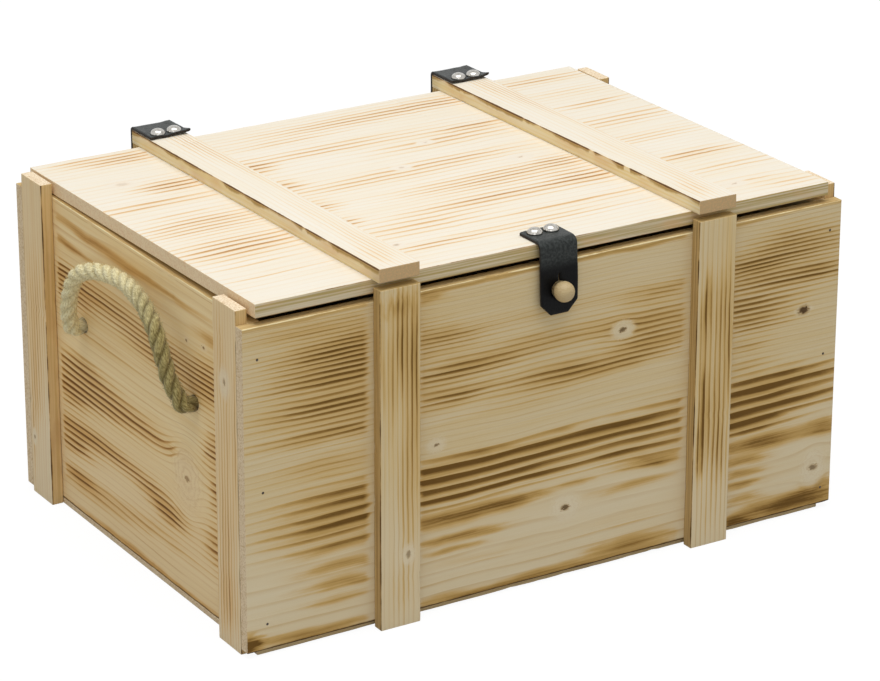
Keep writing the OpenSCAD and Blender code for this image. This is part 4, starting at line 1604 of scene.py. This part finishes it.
def keyhole(middle):
    """The closure's keyhole, listed clockwise: a round hole, with a slit towards the fold."""
    rim = KEYHOLE_D / 2
    slit = SLIT_W / 2
    notch = math.asin(slit / rim)
    steps, rows = 36, 6
    hole = []
    for i in range(steps + 1):
        a = -math.pi / 2 - notch - (2 * math.pi - 2 * notch) * i / steps
        hole.append(Vector((rim * math.cos(a), middle + rim * math.sin(a))))
    side = [Vector((slit, middle - rim - SLIT_L * k / rows)) for k in range(1, rows)]
    side.append(Vector((slit * 0.6, middle - rim - SLIT_L)))
    return hole + side + [Vector((-p.x, p.y)) for p in reversed(side)]


def build_closure():
    """The closure is one strip, nailed to the lid, bent over its edge and buttoned on the knob."""
    middle_z = LID_TOP + STRAP_T / 2 + STRAP_LIFT
    bend_centre = (LID_FRONT_Y, LID_TOP - STRAP_BEND_R)
    bend_r = STRAP_BEND_R + STRAP_T / 2
    fold = Vector((LID_FRONT_Y - bend_r, bend_centre[1]))
    tip = fold + Vector((-math.sin(FLAP_LEAN), -math.cos(FLAP_LEAN))) * FLAP_L
    at, length = along_profile(
        line_points((LID_FRONT_Y + STRAP_TOP_L, middle_z), (LID_FRONT_Y, middle_z), 8)
        + arc_points(bend_centre, bend_r, 90, 180, 14)
        + line_points(fold, tip, 16) + [tip]
    )
    half = STRAP_W / 2
    fold_s = length - FLAP_L
    nails = [(sign * NAIL_PITCH / 2, NAIL_EDGE) for sign in (-1, 1)]

    def place(u, s, height):
        spot, inward = at(s)
        rise = 0.0
        if s < STRAP_TOP_L:
            rise += max(0.0, noise.noise(Vector((u * 0.12, s * 0.1, 9.0)))) * 0.22
            rise += 0.05 * max(0.0, 3.5 - s) ** 2 * (0.4 + 0.6 * math.sin(u * 0.5))
        else:
            rise += 0.35 * noise.noise(Vector((u * 0.06, s * 0.05, 2.0)))
        if s > fold_s + 3:
            rise += 0.0016 * (u * u) * smoothstep(fold_s + 3, fold_s + 20, s)
        rise -= pressed_in(u, s, height, nails)
        y, z = spot - inward * (height + rise)
        return on_lid((u, y, z))

    outline = rounded_outline([
        (-half, 0.2, 1.2), (half, 0.0, 1.2), (half - 0.3, length - FLAP_CORNER, 1.6),
        (half - FLAP_CORNER, length, 1.6), (-half + FLAP_CORNER, length, 1.6),
        (-half + 0.2, length - FLAP_CORNER, 1.6),
    ])
    strip = leather_piece("closure", outline, [keyhole(fold_s + KEYHOLE_DROP)], place, STRAP_T,
                          grid=1.5, edge=0.4)
    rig.blend(strip, "lid", "flap", start=CLOSURE_BLEND[0], end=CLOSURE_BLEND[1])
    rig.slot(strip, "black_leather")
    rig.replaces(strip, "closure_strap", "closure_flap")


# ---- Light and floor ----

def background_rays(graph):
    """1 for the rays that see the white background, 0 for those that light the object."""
    seen = graph.add("ShaderNodeLightPath", output="Is Camera Ray")
    path = seen.socket.node
    for name in ("Is Glossy Ray", "Is Transmission Ray"):
        seen = seen.at_least(Field(graph, path.outputs[name]))
    return seen


def build_floor():
    bm = bmesh.new()
    bmesh.ops.create_grid(bm, x_segments=1, y_segments=1, size=FLOOR_HALF_MM)
    floor = new_object("floor", bm, smooth=False)
    graph = material_graph("floor")
    diffuse = graph.add("ShaderNodeBsdfDiffuse", (FLOOR_GREY, FLOOR_GREY, FLOOR_GREY, 1))
    white = graph.add("ShaderNodeEmission", None, FLOOR_GLOW)
    surface = graph.add("ShaderNodeMixShader", background_rays(graph) * FLOOR_GLOW_SHARE, diffuse,
                        white)
    graph.connect(surface, graph.tree.nodes["Material Output"].inputs["Surface"])
    graph.tree.nodes.remove(graph.shader)
    floor.data.materials.append(graph.owner)
    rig.stage(floor)


def build_world():
    world = bpy.data.worlds.new("studio")
    bpy.context.scene.world = world
    graph = Graph(world, "Background")
    graph.connect((1, 1, 1, 1), graph.shader.inputs["Color"])
    strength = graph.add("ShaderNodeMapRange", background_rays(graph), None, None, WORLD_LIGHT, 1.0)
    graph.connect(strength, graph.shader.inputs["Strength"])


def area_light(name, at, aim, size, power):
    data = bpy.data.lights.new(name, "AREA")
    data.shape = "RECTANGLE"
    data.size, data.size_y = size
    data.energy = power
    light = in_scene(name, data)
    light.location = at
    direction = Vector(aim) - Vector(at)
    light.rotation_euler = direction.to_track_quat("-Z", "Y").to_euler()


def build_lights():
    area_light("key", at=(-0.2, -0.3, 2.4), aim=(0, 0, 0.2), size=(2.2, 1.8), power=37.0)
    area_light("fill", at=(-1.6, -2.6, 1.0), aim=(0, 0, 0.12), size=(1.6, 1.2), power=6.2)


# ---- The scene ----

make_camera()
rope_handle(-1, "left", seed=11)
rope_handle(1, "right", seed=23)
build_panels()
build_lid()
build_uprights()
build_hinges()
build_closure()
build_nails()
build_knob()
build_brads()
build_floor()
build_world()
build_lights()
bpy.context.scene.view_settings.view_transform = "Standard"

with open("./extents.json", "w") as out:
    json.dump({
        "cad": [list(corner) for corner in CAD_BOX],
        "visual": [list(corner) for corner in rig.bounds()],
    }, out)
